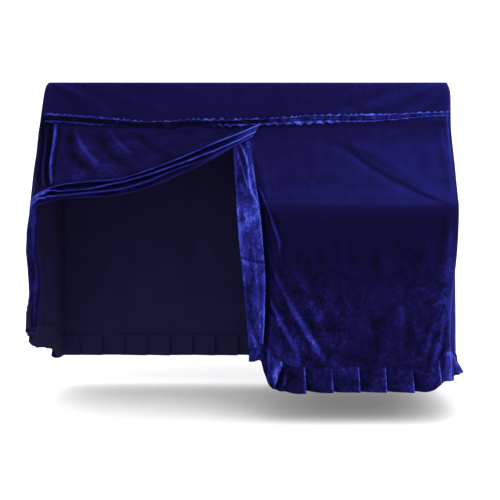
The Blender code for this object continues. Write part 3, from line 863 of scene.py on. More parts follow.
@dataclass
class ShirredBand(ClothPiece):
    """The gathered band over the valance's seam, both of its edges standing off as frills."""

    start: float = 0.09             # where it begins and ends, as shares of the valance
    end: float = 0.94
    widths: Line = Line((           # place across, width
        (-0.780, 0.031), (-0.520, 0.029), (-0.400, 0.024), (0.060, 0.023), (0.150, 0.025),
        (0.300, 0.029), (0.450, 0.029), (0.560, 0.025), (0.660, 0.020), (0.780, 0.013)))
    drop: float = 0.004             # how far its middle lies below the seam that it covers
    clear: float = 0.0045           # how far it stands off that seam
    frill: float = 0.0085           # how far its edges stand out
    pucker: float = 0.0125          # length of one pucker
    scallop: float = 0.036          # length of one scallop where the lower frill hangs loose
    length: float = 1.55            # length of the band as it lies
    bob: float = 0.0040             # how far its edges rise and fall
    loose_fall: float = 0.0060      # how far the lower frill's scallops hang where it is loose
    puff: float = 0.0028            # how far its middle puffs out between the puckers
    stitch: float = 0.0018          # how far its two lines of stitches sink in
    crushing: Shades = (Shade(0.45),)

    def place(self, across: Array, down: Array) -> Array:
        """Points of the band, from its upper frill to its lower one.

        Args:
            across: Share across of each point.
            down: Share down of each point.

        Returns:
            The points.
        """
        share = blend(self.start, self.end, across)
        x = FORM.front_x(share, np.full_like(across, FORM.band_height))
        along = across * self.length
        wide = along / self.pucker + 1.3 * uneven(along * 24.0, 0.0 * along, 31)
        strength = 0.62 + 0.38 * uneven(along * 9.0, down * 0.8, 32)
        upper = down < 0.5
        edge = np.abs(2.0 * down - 1.0)
        frill = ease(0.50, 1.0, edge)
        wave = np.sin(math.pi * wide + np.where(upper, 0.0, 1.9))
        wave = wave + 0.70 * uneven(along * 62.0, np.where(upper, 3.0, 9.0), 33, 2)
        sag = uneven(along * 11.0, np.where(upper, 5.0, 1.0), 34)
        centre = FORM.band_line.at(x) - self.drop
        half = self.widths.at(x) / 2.0 * (1.0 + 0.16 * sag * edge)
        height = centre + np.where(upper, 1.0, -1.0) * edge * half
        height = height + frill * self.bob * wave * strength
        loose = np.where(upper, 0.0, ease(-0.25, -0.10, x) * ease(0.36, 0.26, x))
        height = height - loose * frill * self.loose_fall * self.scallops(along)
        pinch = np.cos(math.pi * wide + 0.4 * np.sin(along * 40.0))
        over = FORM.overlap * ease(-0.30, -0.16, x) * ease(0.20, 0.07, x)
        puff = self.puff * (1.0 - edge**2) * (0.6 + 0.4 * pinch) * strength
        off = self.clear + over + puff - self.stitch * bump(edge, 0.46, 0.13)
        off = off + frill * (self.frill * (0.40 + 0.32 * wave) * strength)
        point, out = FORM.front_at(share, height)
        return point + out * off[:, None]

    def scallops(self, along: Array) -> Array:
        """Uneven scallops of the loose frill, from 0 to 1."""
        place = along / self.scallop + 0.5 * uneven(along * 13.0, 0.0 * along, 39)
        return np.abs(np.sin(math.pi * place))

    def pile_and_light(self, measures: Measures) -> Array:
        """Painted light and shade: dark between its stitches, painted highlights on its two edges.

        Args:
            measures: Values of each measure, by its name.

        Returns:
            The tone at each point.
        """
        x, across, down = measures["x"], measures["across"], measures["down"]
        edge = np.abs(2.0 * down - 1.0)
        upper = down < 0.5
        loose = np.where(upper, 0.0, ease(-0.20, -0.08, x) * ease(0.40, 0.28, x))
        rim = ease(0.52 - 0.04 * loose, 0.68 - 0.04 * loose, edge)
        tips = self.scallops(across * self.length + 0.25 * self.scallop)
        ends = 0.46 * ease(-0.20, -0.06, x) + 0.42 * ease(-0.44, -0.60, x) + loose * (
            0.34 * tips - 0.16 + 0.16 * uneven(across * 55.0, 2.0 + 0.0 * down, 38))
        # painted highlights on both frilled edges and on the loose scallops' tips
        lit = np.where(upper, 0.60, 0.04 + ends)
        lit = lit * (0.92 + 0.26 * uneven(across * 90.0, down * 0.5, 35))
        # the body: darker to the left, with painted highlights along its puckers
        right = ease(0.02, 0.20, x)
        tucks = uneven(across * 42.0, 0.6 * down, 36, 2)
        lines = bump(uneven(across * 64.0, 0.5 * down, 37), 0.0, 0.16)
        body = blend(-0.05, 0.30, right) + blend(0.06, 0.10, right) * tucks
        body = body + blend(0.16, 0.24, right) * lines
        return blend(body, body * 0.4 + lit, rim)


# ------------------------------------------------------------------ the closed curtain
UNDER_KEYBED = ("z", -0.440, -0.490)


@dataclass
class ClosedCurtain(ClothPiece):
    """The right front curtain, hanging closed, its leading edge turned and standing proud."""

    free_lift: float = 0.008        # how far the turned edge's free side stands out
    middle_lift: float = 0.021      # and its middle, its ridge and the cloth turned in behind
    ridge_lift: float = 0.025
    behind_lift: float = 0.008
    turn_in: float = 0.007          # how far the cloth turns back under the ridge
    valley_sink: float = 0.012      # depth of the valley beside it
    edge_lines: Line = Line((       # height, free edge, ridge, valley behind it, run-out
        (-1.040, 0.006, 0.050, 0.066, 0.110),
        (-0.950, 0.002, 0.052, 0.066, 0.105),
        (-0.860, -0.005, 0.057, 0.071, 0.105),
        (-0.720, -0.017, 0.059, 0.071, 0.100),
        (-0.580, -0.032, 0.050, 0.062, 0.090),
        (-0.457, -0.040, 0.039, 0.051, 0.078),
        (-0.360, -0.047, 0.024, 0.038, 0.064),
        (-0.250, -0.055, 0.012, 0.026, 0.050),
        (-0.130, -0.061, 0.004, 0.016, 0.036)))
    edge_shares: Tuple[float, ...] = (0.0, 0.07, 0.15, 0.18, 0.205, 0.24, 0.30)
    # folds with glow carry a painted highlight along their crest
    strip_folds: Folds = (
        Fold(-0.032, -0.225, 0.004, -0.330, 0.005, 0.0060, 0.009, glow=20.0),
        Fold(0.002, -0.340, 0.034, -0.450, -0.006, 0.0070, 0.009, glow=20.0),
        Fold(-0.045, -0.249, -0.002, -0.383, 0.000, 0.0040, 0.006, glow=9.0),
        Fold(-0.036, -0.400, 0.010, -0.560, 0.004, 0.0080, 0.003),
        Fold(0.020, -0.620, 0.046, -0.930, 0.004, 0.0070, 0.004),
        Fold(0.000, -0.860, 0.030, -0.960, 0.000, 0.0070, 0.004),
    )
    # folds with glow carry a painted highlight along their crest, and painted shade along those
    # whose lift is negative
    folds: Folds = (
        Fold(0.034, -0.380, 0.112, -0.585, 0.004, 0.0042, 0.009, 0.7, glow=20.0),
        Fold(0.050, -0.577, 0.231, -0.951, -0.013, 0.0070, 0.0046, 2.2, glow=4.0),
        Fold(0.062, -0.760, 0.176, -0.990, -0.002, 0.0064, 0.0050, 2.2, glow=5.0),
        Fold(0.186, -0.850, 0.262, -0.990, -0.004, 0.0150, 0.005, glow=10.0),
        Fold(0.376, -0.245, 0.706, -0.449, -0.040, 0.0150, -0.0024, glow=22.0),
        Fold(0.150, -0.640, 0.310, -1.020, 0.010, 0.0260, 0.004),
        Fold(0.330, -0.215, 0.690, -0.450, 0.000, 0.0480, -0.0034),
        Fold(0.722, -0.520, 0.665, -1.000, 0.016, 0.0140, 0.007),
        Fold(0.700, -0.640, 0.620, -1.000, 0.020, 0.0150, 0.004),
        Fold(0.738, -0.640, 0.700, -1.020, 0.010, 0.0080, 0.005),
        Fold(0.735, -0.200, 0.742, -0.420, 0.000, 0.0080, 0.002),
        Fold(0.330, -0.560, 0.370, -1.030, 0.000, 0.0500, 0.004),
        Fold(0.520, -0.600, 0.500, -1.030, 0.000, 0.0500, 0.004),
    )
    crumple: float = 0.0028         # depth of the turned edge's small folds
    ripple: Tuple[float, float] = (0.0010, 0.0034)      # and of the rest's, high up and low down
    # painted light and shade: lighter on the slope above the keybed and to the right, painted shade
    # under the keybed and in the valley behind the turned edge, painted sheen low down, and lumps
    # of uneven tone
    tones: Shades = (
        Shade(0.29), Shade(0.065, (("x", 0.1, 0.7),)),                  # the slope
        Shade(-0.16, (UNDER_KEYBED,)), Shade(-0.065, (UNDER_KEYBED, ("x", 0.1, 0.7))),
        Shade(0.15, (("z", -0.60, -0.90),)),                            # low down
        Shade(-0.06, (("z", -0.60, -0.90), ("x", 0.25, 0.45))),
        Shade(0.14, (UNDER_KEYBED, ("z", -0.46, -0.70), ("x", 0.60, 0.73))),
        Shade(0.06, (("z", -0.50, -0.70),), lumps=("x", 6.0, "z", 5.0, 43, 2)),
        Shade(-0.12, (("z", -0.36, -0.46),), (("across", 0.20, 0.025),)),   # behind the edge
    )
    # the turned edge: lighter overall, with painted highlights on its free edge, along its ridge
    # and beside its level crease, and painted shade in that crease, over the keybed and in a band
    # across its middle
    strip_tones: Shades = (
        Shade(0.58), Shade(0.14, lumps=("x", 18.0, "z", 7.0, 44, 2)),
        Shade(0.17, (("across", 0.022, 0.010), ("z", -0.82, -0.70))),       # its free edge
        Shade(-0.14, (("across", 0.09, 0.05), ("z", -0.69, -0.76), ("z", -0.92, -0.84))),
        Shade(-0.25, (("z", -0.470, -0.420),)),                             # over the keybed
        Shade(0.26, (("z", -0.40, -0.30),), (("across", 0.125, 0.025),)),
        Shade(-0.24, spots=(("crease", 0.0, 0.0035),)),                     # its level crease
        Shade(0.10, spots=(("crease", -0.009, 0.005),)),
        Shade(0.16, (("z", -0.62, -0.30),), (("across", 0.142, 0.012),)),   # along its ridge
        Shade(0.20, (("z", -0.76, -0.86),), (("across", 0.142, 0.012),)),
    )
    # painted highlights down the right corner, and painted shade on the side beyond it
    corner_tones: Shades = (
        Shade(0.26, (("z", -0.38, -0.24),), (("across", 0.933, 0.008),)),
        Shade(-0.12, (("across", 0.945, 0.965), ("z", -0.52, -0.42))),
        Shade(0.20, (("z", -0.55, -0.78),), (("across", 0.955, 0.016),)),
    )
    crushing: Shades = (            # low down, less so in its middle, and all over the edge
        Shade(0.12), Shade(0.80, (("z", -0.56, -0.84),)),
        Shade(-0.28, (("z", -0.56, -0.84), ("x", 0.25, 0.42))),
        Shade(0.80, (("across", 0.22, 0.14),)),
        Shade(0.30, (("x", 0.50, 0.70), ("z", -0.50, -0.70))),
    )
    shading: Shades = (             # hardly any along the break over the keybed
        Shade(1.0), Shade(-0.92, spots=(("z", FORM.crease, 0.030),)))

    def across_at(self, across: Array, height: Array) -> Tuple[Array, Array]:
        """Follow the curtain's section at each height, up to its corner.

        Args:
            across: Share of the curtain's columns.
            height: Height of each point.

        Returns:
            Places across, and lifts of the turned edge.
        """
        free, ridge, valley, out = (self.edge_lines.at(height, i) for i in (1, 2, 3, 4))
        corner = FORM.right_half(height) - FORM.corner
        hang = ease(-0.22, -0.42, height)
        middle = blend(free, ridge, 0.52)
        places = np.stack((free, middle, ridge, ridge - self.turn_in * hang,
                           blend(ridge, valley, 0.6), blend(valley, out, 0.35), out))
        lifts = np.stack([lift * hang for lift in (
            self.free_lift, self.middle_lift, self.ridge_lift, self.behind_lift,
            -self.valley_sink, -0.5 * self.valley_sink, 0.0)])
        station = np.interp(across, self.edge_shares, range(len(self.edge_shares)))
        start = self.edge_shares[-1]
        beyond = np.clip((across - start) / (1.0 - FORM.curtain_corner - start), 0.0, 1.0)
        flat = across > start
        x = np.where(flat, blend(out, corner, beyond), through(places, station))
        return x, np.where(flat, 0.0, through(lifts, station))

    def place(self, across: Array, down: Array) -> Array:
        """Points of the curtain, from its free edge to the right side's seam.

        Args:
            across: Share across of each point.
            down: Share down of each point.

        Returns:
            The points.
        """
        band = np.full_like(across, FORM.band_height)
        hem = np.full_like(across, FORM.hem_line)
        top = FORM.band_line.at(self.across_at(across, band)[0]) - SEAM / 2.0
        foot = FORM.right_hem.at(self.across_at(across, hem)[0])
        height = FORM.curtain_height(down, top, foot)
        x, lift = self.across_at(across, height)
        c = FORM.curtain_corner
        out = outward(np.maximum(across - 1.0 + c, 0.0) / c)
        centre = spaced(x, FORM.front(height) + FORM.corner, height)
        plain = centre + out * FORM.corner
        main = ease(0.175, 0.215, across) * ease(1.0, 1.0 - c, across)
        strip = (across <= 0.15) * ease(0.0, 0.02, across) * ease(0.15, 0.12, across)
        lift = lift + main * folded(self.folds, x, height)
        lift = lift + strip * folded(self.strip_folds, x, height)
        quiet = ease(0.0, 0.06, down) * ease(1.0, 0.94, down) * ease(1.0, 1.0 - c, across)
        low = ease(-0.45, -0.75, height)
        small = blend(*self.ripple, low) * uneven(x * 9.0, height * 3.5, 41, 3)
        crumple = self.crumple * strip * uneven(x * 34.0, height * 17.0, 42, 3)
        lift = lift + quiet * (small * main + crumple)
        return plain + out * lift[:, None]

    def measures(self, points: Array, across: Array, down: Array) -> Measures:
        """Add the distance above the turned edge's level crease to the measures.

        Args:
            points: The sheet's points.
            across: Share across of each point.
            down: Share down of each point.

        Returns:
            Values of each measure, by its name.
        """
        named = super().measures(points, across, down)
        wavy = 0.004 * uneven(points[:, 0] * 40.0, 0.0 * across, 45)
        return {**named, "crease": named["z"] + 0.641 + 0.10 * across + wavy}

    def pile_and_light(self, measures: Measures) -> Array:
        """Painted light and shade: bright on the turned edge, darkest in the painted shade just
        under the keybed.

        Args:
            measures: Values of each measure, by its name.

        Returns:
            The tone at each point.
        """
        x, z = measures["x"], measures["z"]
        tone = shaded(self.tones, measures) + painted_fold_light(self.folds, x, z)
        strip = shaded(self.strip_tones, measures) + painted_fold_light(self.strip_folds, x, z)
        edge = ease(0.165, 0.150, measures["across"])
        return blend(tone, strip, edge) + shaded(self.corner_tones, measures)


# ------------------------------------------------------------------ the drawn curtain
@dataclass(frozen=True)
class Section:
    """One section of the drawn curtain.

    Attributes:
        sewn: Place across, or height, of its sewn edge.
        ridge: Where the rope starts under it: across and height, or a whole point.
        free: Where the rope ends.
        out: Way out of the cloth.
        rope: Depth of the rope's folds.
    """

    sewn: float
    ridge: Tuple[float, ...]
    free: Tuple[float, ...]
    out: Tuple[float, float, float]
    rope: float


@dataclass
class Course:
    """The rope's ridge, free edge, way out, depth and clearance at each point."""

    ridge: Array
    free: Array
    out: Array
    depth: Array
    clear: Array


AHEAD = (0.0, -1.0, 0.0)
LEFT = (-1.0, 0.0, 0.0)
KNOT = ("section", 8.6, 0.7)        # where the folds are bunched together around the arm's corner


@dataclass
class DrawnCurtain(ClothPiece):
    """The left front curtain, drawn aside in a gathered rope, with its tail over the arm."""

    along_band: Tuple[Section, ...] = (
        Section(0.052, (0.048, -0.156), (0.018, -0.206), AHEAD, 0.006),
        Section(-0.030, (-0.030, -0.190), (-0.054, -0.244), AHEAD, 0.008),
        Section(-0.150, (-0.135, -0.231), (-0.165, -0.306), AHEAD, 0.011),
        Section(-0.270, (-0.245, -0.280), (-0.268, -0.354), AHEAD, 0.012),
        Section(-0.380, (-0.355, -0.323), (-0.372, -0.394), AHEAD, 0.012),
        Section(-0.490, (-0.465, -0.357), (-0.478, -0.419), AHEAD, 0.011),
        Section(-0.600, (-0.575, -0.367), (-0.585, -0.426), AHEAD, 0.011),
        Section(-0.690, (-0.672, -0.379), (-0.670, -0.431), AHEAD, 0.010),
        Section(-0.762, (-0.724, -0.403), (-0.724, -0.441), (-0.20, -0.75, 0.60), 0.007),
    )
    down_side: Tuple[Section, ...] = (
        Section(-0.132, (-0.774, -0.385, -0.436), (-0.763, -0.424, -0.458),
                (-0.6, -0.4, 0.7), 0.007),
        Section(-0.250, (-0.784, -0.362, -0.495), (-0.768, -0.428, -0.505),
                (-0.9, -0.2, 0.3), 0.011),
        Section(-0.370, (-0.790, -0.345, -0.575), (-0.773, -0.432, -0.575), LEFT, 0.014),
        Section(-0.500, (-0.792, -0.340, -0.645), (-0.771, -0.434, -0.640), LEFT, 0.014),
        Section(-0.640, (-0.788, -0.340, -0.718), (-0.763, -0.434, -0.702), LEFT, 0.014),
        Section(-0.770, (-0.785, -0.342, -0.783), (-0.762, -0.433, -0.757), LEFT, 0.014),
        Section(-0.885, (-0.785, -0.345, -0.848), (-0.770, -0.431, -0.808), LEFT, 0.014),
    )
    flat_share: float = 0.36        # share of a section's rows above the rope
    rope_share: float = 0.86        # and to the rope's last turn; the rest is tucked behind it
    ridge_lines: Line = Line((      # section, places of the rope's three ridges, the last's rise
        (0.0, 0.05, 0.62, 0.86, 0.0), (1.0, 0.05, 0.60, 0.84, 0.1), (2.0, 0.05, 0.48, 0.80, 0.2),
        (3.0, 0.05, 0.37, 0.60, 0.6), (4.0, 0.05, 0.32, 0.67, 0.9), (5.0, 0.05, 0.26, 0.66, 1.0),
        (6.0, 0.05, 0.50, 0.74, 1.0), (7.0, 0.05, 0.52, 0.80, 0.9), (7.6, 0.06, 0.30, 0.76, 1.0),
        (8.0, 0.08, 0.22, 0.68, 1.0), (8.5, 0.08, 0.28, 0.66, 1.0), (9.0, 0.06, 0.36, 0.70, 1.0),
        (10.0, 0.10, 0.44, 0.76, 1.0), (12.0, 0.06, 0.38, 0.72, 1.0),
        (15.0, 0.08, 0.42, 0.76, 1.0)))
    ridge_width: float = 0.085      # half width of a ridge, as a share of the rope
    corner_ridges: Rows = (         # section, half width, lift
        (7.60, 0.11, 0.012), (7.86, 0.09, -0.005), (8.10, 0.07, 0.006), (8.36, 0.10, -0.004),
        (8.70, 0.16, 0.007))
    # hollows with glow carry a painted highlight along their crest
    hollows: Folds = (
        Fold(-0.670, -0.190, -0.570, -0.340, -0.035, 0.026, -0.006),
        Fold(-0.648, -0.180, -0.560, -0.300, -0.020, 0.006, 0.003, glow=46.0),
        Fold(-0.560, -0.190, -0.430, -0.320, -0.030, 0.030, -0.004),
        Fold(-0.520, -0.185, -0.440, -0.265, -0.010, 0.008, 0.003, glow=24.0),
        Fold(-0.430, -0.190, -0.300, -0.280, -0.010, 0.030, -0.003),
    )
    # painted highlights on the upright folds at the corner
    lit_ridges: Rows = ((7.62, 0.085, 1.0), (8.12, 0.06, 0.45))     # section, half width, share
    ripple: float = 0.0018          # depth of the small unevenness above the rope
    thick_and_thin: float = 0.22    # how unevenly thick the rope is
    tuck: float = 0.042             # how far its edge is tucked up behind it
    tail_tuck: float = 0.050
    tuck_gap: float = 0.005         # how far the tucked edge stays behind the rope
    tail_wave: float = 0.013        # depth of the folds between the tail's seam and its rope
    tail_folds: float = 2.25
    # painted shade over what is tucked in behind the rope
    tucked_shade: float = 0.04       # tone of what is tucked in behind the rope
    # painted shade where it turns around the corner, with lumps of uneven tone
    tones: Shades = (               # above the rope, darker where it turns around the corner
        Shade(0.21), Shade(0.06, lumps=("x", 7.0, "z", 7.0, 54, 2)),
        Shade(-0.22, (("section", 7.75, 8.1),)))
    # painted highlight on the tail's strand and at the knot, brighter towards the band's middle,
    # darker low on the tail
    rope_tones: Shades = (
        Shade(0.15), Shade(0.40, (("section", 8.6, 9.6),), (("rope", 0.88, 0.08),)),
        Shade(0.06, spots=(KNOT,)),
        Shade(-0.09, (("section", 10.8, 12.2), ("section", 15.0, 14.2))),
        Shade(0.24, (("section", 2.2, 0.6),)), Shade(0.16, (("section", 1.2, 0.5),)),
        Shade(0.06, (("section", 5.0, 2.0),)))
    crushing: Shades = (            # more in the rope, less where it is tucked in
        Shade(0.40), Shade(0.35, (("down", 0.28, 0.38),)), Shade(-0.60, (("down", 0.86, 0.90),)))

    def on_slope(self, x: Array, height: Array) -> Array:
        """Points of the drawn curtain in front of the sloping cloth."""
        lift = FORM.overlap * ease(-0.30, -0.16, x)
        return spaced(x, FORM.front(height) - lift, height)

    def seam_height(self, place: Array) -> Array:
        """Height on the left side's seam, where place counts the sections down the side."""
        heights = [section.sewn for section in self.down_side]
        return np.interp(place, range(len(heights)), heights)

    def sewn_at(self, place: Array) -> Array:
        """Follow the sewn edge under the band, around the corner and down the side's seam.

        Args:
            place: Where along the sections, which it counts.

        Returns:
            A point for each place.
        """
        corner = len(self.along_band) - 1
        x = np.interp(place, range(corner + 1), [section.sewn for section in self.along_band])
        band = self.on_slope(x, FORM.band_line.at(x) - SEAM / 2.0)
        height = np.full_like(place, self.down_side[0].sewn)
        seam = FORM.left_seam(height)
        angle = np.radians(270.0 - 90.0 * np.clip(place - corner, 0.0, 1.0))
        turn = spaced(seam[:, 0] + FORM.corner * (1.0 + np.cos(angle)),
                      FORM.front(height) + FORM.corner * (1.0 + np.sin(angle)), height)
        side = FORM.left_seam(self.seam_height(place - corner - 1.0))
        on_turn = (place > corner)[:, None]
        on_side = (place > corner + 1)[:, None]
        return np.where(on_side, side, np.where(on_turn, turn, band))

    def course(self, place: Array, down: Array) -> Course:
        """Read the tables of sections.

        Args:
            place: Where along the sections each point lies.
            down: Share down of each point.

        Returns:
            The rope's course at each point.
        """
        flat, side = self.along_band, self.down_side
        ridge = [self.on_slope(np.array(s.ridge[0]), np.array(s.ridge[1])) for s in flat]
        free = [self.on_slope(np.array(s.free[0]), np.array(s.free[1])) for s in flat]
        ridges = through(np.array(ridge + [np.array(s.ridge) for s in side]), place)
        frees = through(np.array(free + [np.array(s.free) for s in side]), place)
        out = unit(through(np.array([s.out for s in flat + side]), place))
        depth = through(np.array([s.rope for s in flat + side]), place)
        depth = depth * (1.0 + self.thick_and_thin * uneven(place * 1.3, down * 3.0, 51, 2))
        return Course(ridges, frees, out, depth, depth * ease(-0.20, -0.08, ridges[:, 0]))

    def rope_place(self, down: Array) -> Array:
        """Share of the rope that a row has reached."""
        return np.clip((down - self.flat_share) / (self.rope_share - self.flat_share), 0.0, 1.0)

    def knot(self, place: Array) -> Array:
        """How far the folds are bunched together around the arm's corner."""
        return bump(place, *KNOT[1:])

    def swayed(self, share: Array, place: Array) -> Array:
        """Share of the rope's section, its ridges wandering along the rope.

        Args:
            share: Share of the rope that each point has reached.
            place: Where along the sections each point lies.

        Returns:
            The shifted shares.
        """
        wander = 0.035 * uneven(place * 1.1, 0.0 * place, 52, 2)
        loops = 0.075 * self.knot(place) * np.sin(2.0 * math.pi * (place * 1.3 + 0.35 * share))
        return share + (wander + loops) * np.sin(math.pi * share)

    def section_at(self, across: Array) -> Array:
        """Sections reached by the columns, which crowd together around the arm's corner."""
        return np.interp(across, (0.0, 0.36, 0.64, 1.0), (0.0, 6.9, 9.6, 15.0))

    def rope_wave(self, share: Array, place: Array) -> Array:
        """Section of the rope: three narrow ridges, with wider hollows between them.

        Args:
            share: Share of the rope that each point has reached.
            place: Where along the sections each point lies.

        Returns:
            Rise of each point, as a share of the rope's depth.
        """
        wave = -1.0 + 0.35 * np.abs(2.0 * share - 1.0)
        for column, rise in ((1, 1.0), (2, 1.0), (3, self.ridge_lines.at(place, 4))):
            off = (share - self.ridge_lines.at(place, column)) / self.ridge_width
            wave = wave + 2.0 * rise * np.exp(-np.abs(off) ** 1.7)
        return wave

    def ridge_bow(self, upper: Array) -> Array:
        """How far the upright folds by the corner bow sideways, in sections."""
        return 0.13 * np.sin(math.pi * upper) - 0.10 * np.sin(2.0 * math.pi * upper)

    def roped(self, course: Course, place: Array, down: Array) -> Array:
        """Lay the rope, and tuck its last edge in behind it.

        Args:
            course: The rope's course at each point.
            place: Where along the sections each point lies.
            down: Share down of each point.

        Returns:
            The points, which count from the rope's first row downwards.
        """
        share = self.rope_place(down)
        wave = self.rope_wave(self.swayed(share, place), place)
        point = course.ridge + (course.free - course.ridge) * share[:, None]
        point = point + course.out * (course.depth * wave + course.clear)[:, None]
        tuck = np.clip((down - self.rope_share) / (1.0 - self.rope_share), 0.0, 1.0)
        tail = ease(9.5, 11.0, place)
        apart = ease(0.0, 1.5, place)
        deep = course.depth * blend(1.3, 0.6, tail) + self.tuck_gap
        deep = deep * np.sin(math.pi / 2.0 * tuck)
        behind = blend(self.tuck, self.tail_tuck, tail) * (1.0 - np.cos(math.pi / 2.0 * tuck))
        behind = behind - self.tuck_gap * np.sin(math.pi * np.minimum(tuck * 1.6, 1.0))
        point = point - course.out * (deep * apart)[:, None]
        return point - unit(course.free - course.ridge) * (behind * apart)[:, None]

    def hung(self, course: Course, place: Array, down: Array) -> Array:
        """Hang the cloth above the rope from its sewn edge.

        Args:
            course: The rope's course at each point.
            place: Where along the sections each point lies.
            down: Share down of each point.

        Returns:
            The points, which count above the rope.
        """
        sewn = self.sewn_at(place)
        upper = np.clip(down / self.flat_share, 0.0, 1.0)
        point = sewn + (course.ridge - sewn) * upper[:, None]
        corner = len(self.along_band)
        slope = ease(corner, corner - 1, place)
        lying = self.on_slope(point[:, 0], point[:, 2])[:, 1]
        point[:, 1] = blend(point[:, 1], lying, slope)
        start = course.depth * self.rope_wave(np.zeros_like(down), place) + course.clear
        lift = start * ease(0.66, 1.0, upper)
        lift -= 0.4 * course.depth * np.sin(math.pi * upper) ** 2
        lift += slope * folded(self.hollows, point[:, 0], point[:, 2])
        wave = np.sin(2.0 * math.pi * self.tail_folds * upper) * ease(1.0, 0.85, upper)
        lift += self.tail_wave * ease(9.2, 10.4, place) * wave
        for centre, width, height in self.corner_ridges:
            off = place - centre - self.ridge_bow(upper)
            lift += height * ease(-0.1, 0.2, upper) * ease(1.0, 0.8, upper) * bump(off, 0.0, width)
        x, y, z = 8.0 * point.T
        lift += self.ripple * uneven(x + y, z, 53, 3) * np.sin(math.pi * upper)
        return point + course.out * (lift * ease(0.0, 0.3, upper))[:, None]

    def place(self, across: Array, down: Array) -> Array:
        """Points of the curtain, from the band's middle over the arm to the tail's hem.

        Args:
            across: Share across of each point.
            down: Share down of each point.

        Returns:
            The points.
        """
        place = self.section_at(across)
        course = self.course(place, down)
        roped, hung = self.roped(course, place, down), self.hung(course, place, down)
        return np.where((down > self.flat_share)[:, None], roped, hung)

    def measures(self, points: Array, across: Array, down: Array) -> Measures:
        """Add the section and the share of the rope to the measures."""
        return {**super().measures(points, across, down), "section": self.section_at(across),
                "rope": self.rope_place(down)}

    def pile_and_light(self, measures: Measures) -> Array:
        """Painted light and shade: highlights along the rope's ridges, shade in its hollows and
        behind it.

        Args:
            measures: Values of each measure, by its name.

        Returns:
            The tone at each point.
        """
        place, down = measures["section"], measures["down"]
        above = shaded(self.tones, measures) + painted_fold_light(self.hollows, measures["x"], measures["z"])
        upper = np.clip(down / self.flat_share, 0.0, 1.0)
        for centre, width, share in self.lit_ridges:
            lit = share * bump(place, centre + self.ridge_bow(upper), width)
            above = above + (0.28 - 0.10 * upper) * lit * ease(-0.1, 0.15, upper)
        sway = self.swayed(measures["rope"], place)
        # painted highlights along the rope's crests, strongest at the knot
        crest = np.clip(self.rope_wave(sway, place), 0.0, 1.0) ** 2
        crests = (0.22 + 0.24 * self.knot(place)) * crest * ease(10.4, 9.4, place)
        gathers = shaded(self.rope_tones, measures) + crests
        rope = ease(self.flat_share - 0.03, self.flat_share + 0.02, down)
        tucked = ease(self.rope_share, self.rope_share + 0.04, down)
        return blend(blend(above, gathers, rope), self.tucked_shade, tucked)


# ------------------------------------------------------------------ sides and back
ALLOWANCE = 0.006                   # width of the sides' seam allowances
ALLOWANCE_SINK = 0.0026             # how far they lie in under their neighbours


def tucked_under(x: Array, y: Array, across: Array) -> Tuple[Array, Array]:
    """Tuck both upright edges of a side under its neighbours, as seam allowances.

    Args:
        x: Distance of each point from the cover's middle.
        y: Depth of each point.
        across: Share across the side.

    Returns:
        The new distances and depths.
    """
    front, back = ease(0.03, 0.0, across), ease(0.97, 1.0, across)
    return x - ALLOWANCE_SINK * (front + back), y + ALLOWANCE * (back - front)


@dataclass
class Side(ClothPiece):
    """One side."""

    ripple: float = 0.002           # depth of its small unevenness
    crushing: Shades = (Shade(0.35), Shade(0.40, (("z", -0.5, -0.9),)))
    folds: Folds = (
        Fold(-0.080, -0.150, -0.120, -1.000, 0.020, 0.026, 0.011),
        Fold(0.080, -0.250, 0.060, -1.020, 0.010, 0.022, 0.009),
    )


@dataclass
class RightSide(Side):
    """The right side, from the front seam to the back seam."""

    valance_share: float = 0.2
    folds: Folds = Side.folds + (
        Fold(-0.270, -0.480, -0.280, -1.020, 0.000, 0.024, 0.007),
        Fold(-0.190, -0.350, -0.210, -1.020, 0.010, 0.018, -0.005),
        Fold(0.000, -0.200, -0.020, -1.020, 0.000, 0.020, -0.004),
    )

    def place(self, across: Array, down: Array) -> Array:
        """Points of the right side.

        Args:
            across: Share across of each point.
            down: Share down of each point.

        Returns:
            The points.
        """
        lid = FORM.right_half(np.full_like(across, FORM.top_line))
        band_end = FORM.band_line.at(lid)
        front_foot = float(FORM.right_side_hem.at(np.array(-0.4)))
        upper = blend(FORM.top_line, band_end, np.clip(down / self.valance_share, 0.0, 1.0))
        lower_share = np.clip((down - self.valance_share) / (1.0 - self.valance_share), 0.0, 1.0)
        lower = FORM.curtain_height(lower_share, band_end, front_foot)
        height = np.where(down <= self.valance_share, upper, lower)
        front = FORM.front(height) + FORM.corner + SIDE_SEAM
        back = FORM.half_depth - FORM.back_corner - SIDE_SEAM
        y = blend(front, back, across)
        extra = FORM.right_side_hem.at(y) - front_foot
        free = ease(0.0, 0.10, across) * ease(1.0, 0.96, across)
        x = blend(FORM.right_half(height), FORM.back_half(height), ease(0.0, 0.16, y - front))
        x = x + folded(self.folds, y, height) * ease(0.0, 0.05, y - front)
        small = self.ripple * uneven(y * 11.0, height * 3.0, 61, 3)
        x = x + free * small * ease(-0.05, -0.3, height)
        x, y = tucked_under(x, y, across)
        return spaced(x, y, height + extra * ease(-0.6, -1.0, height))


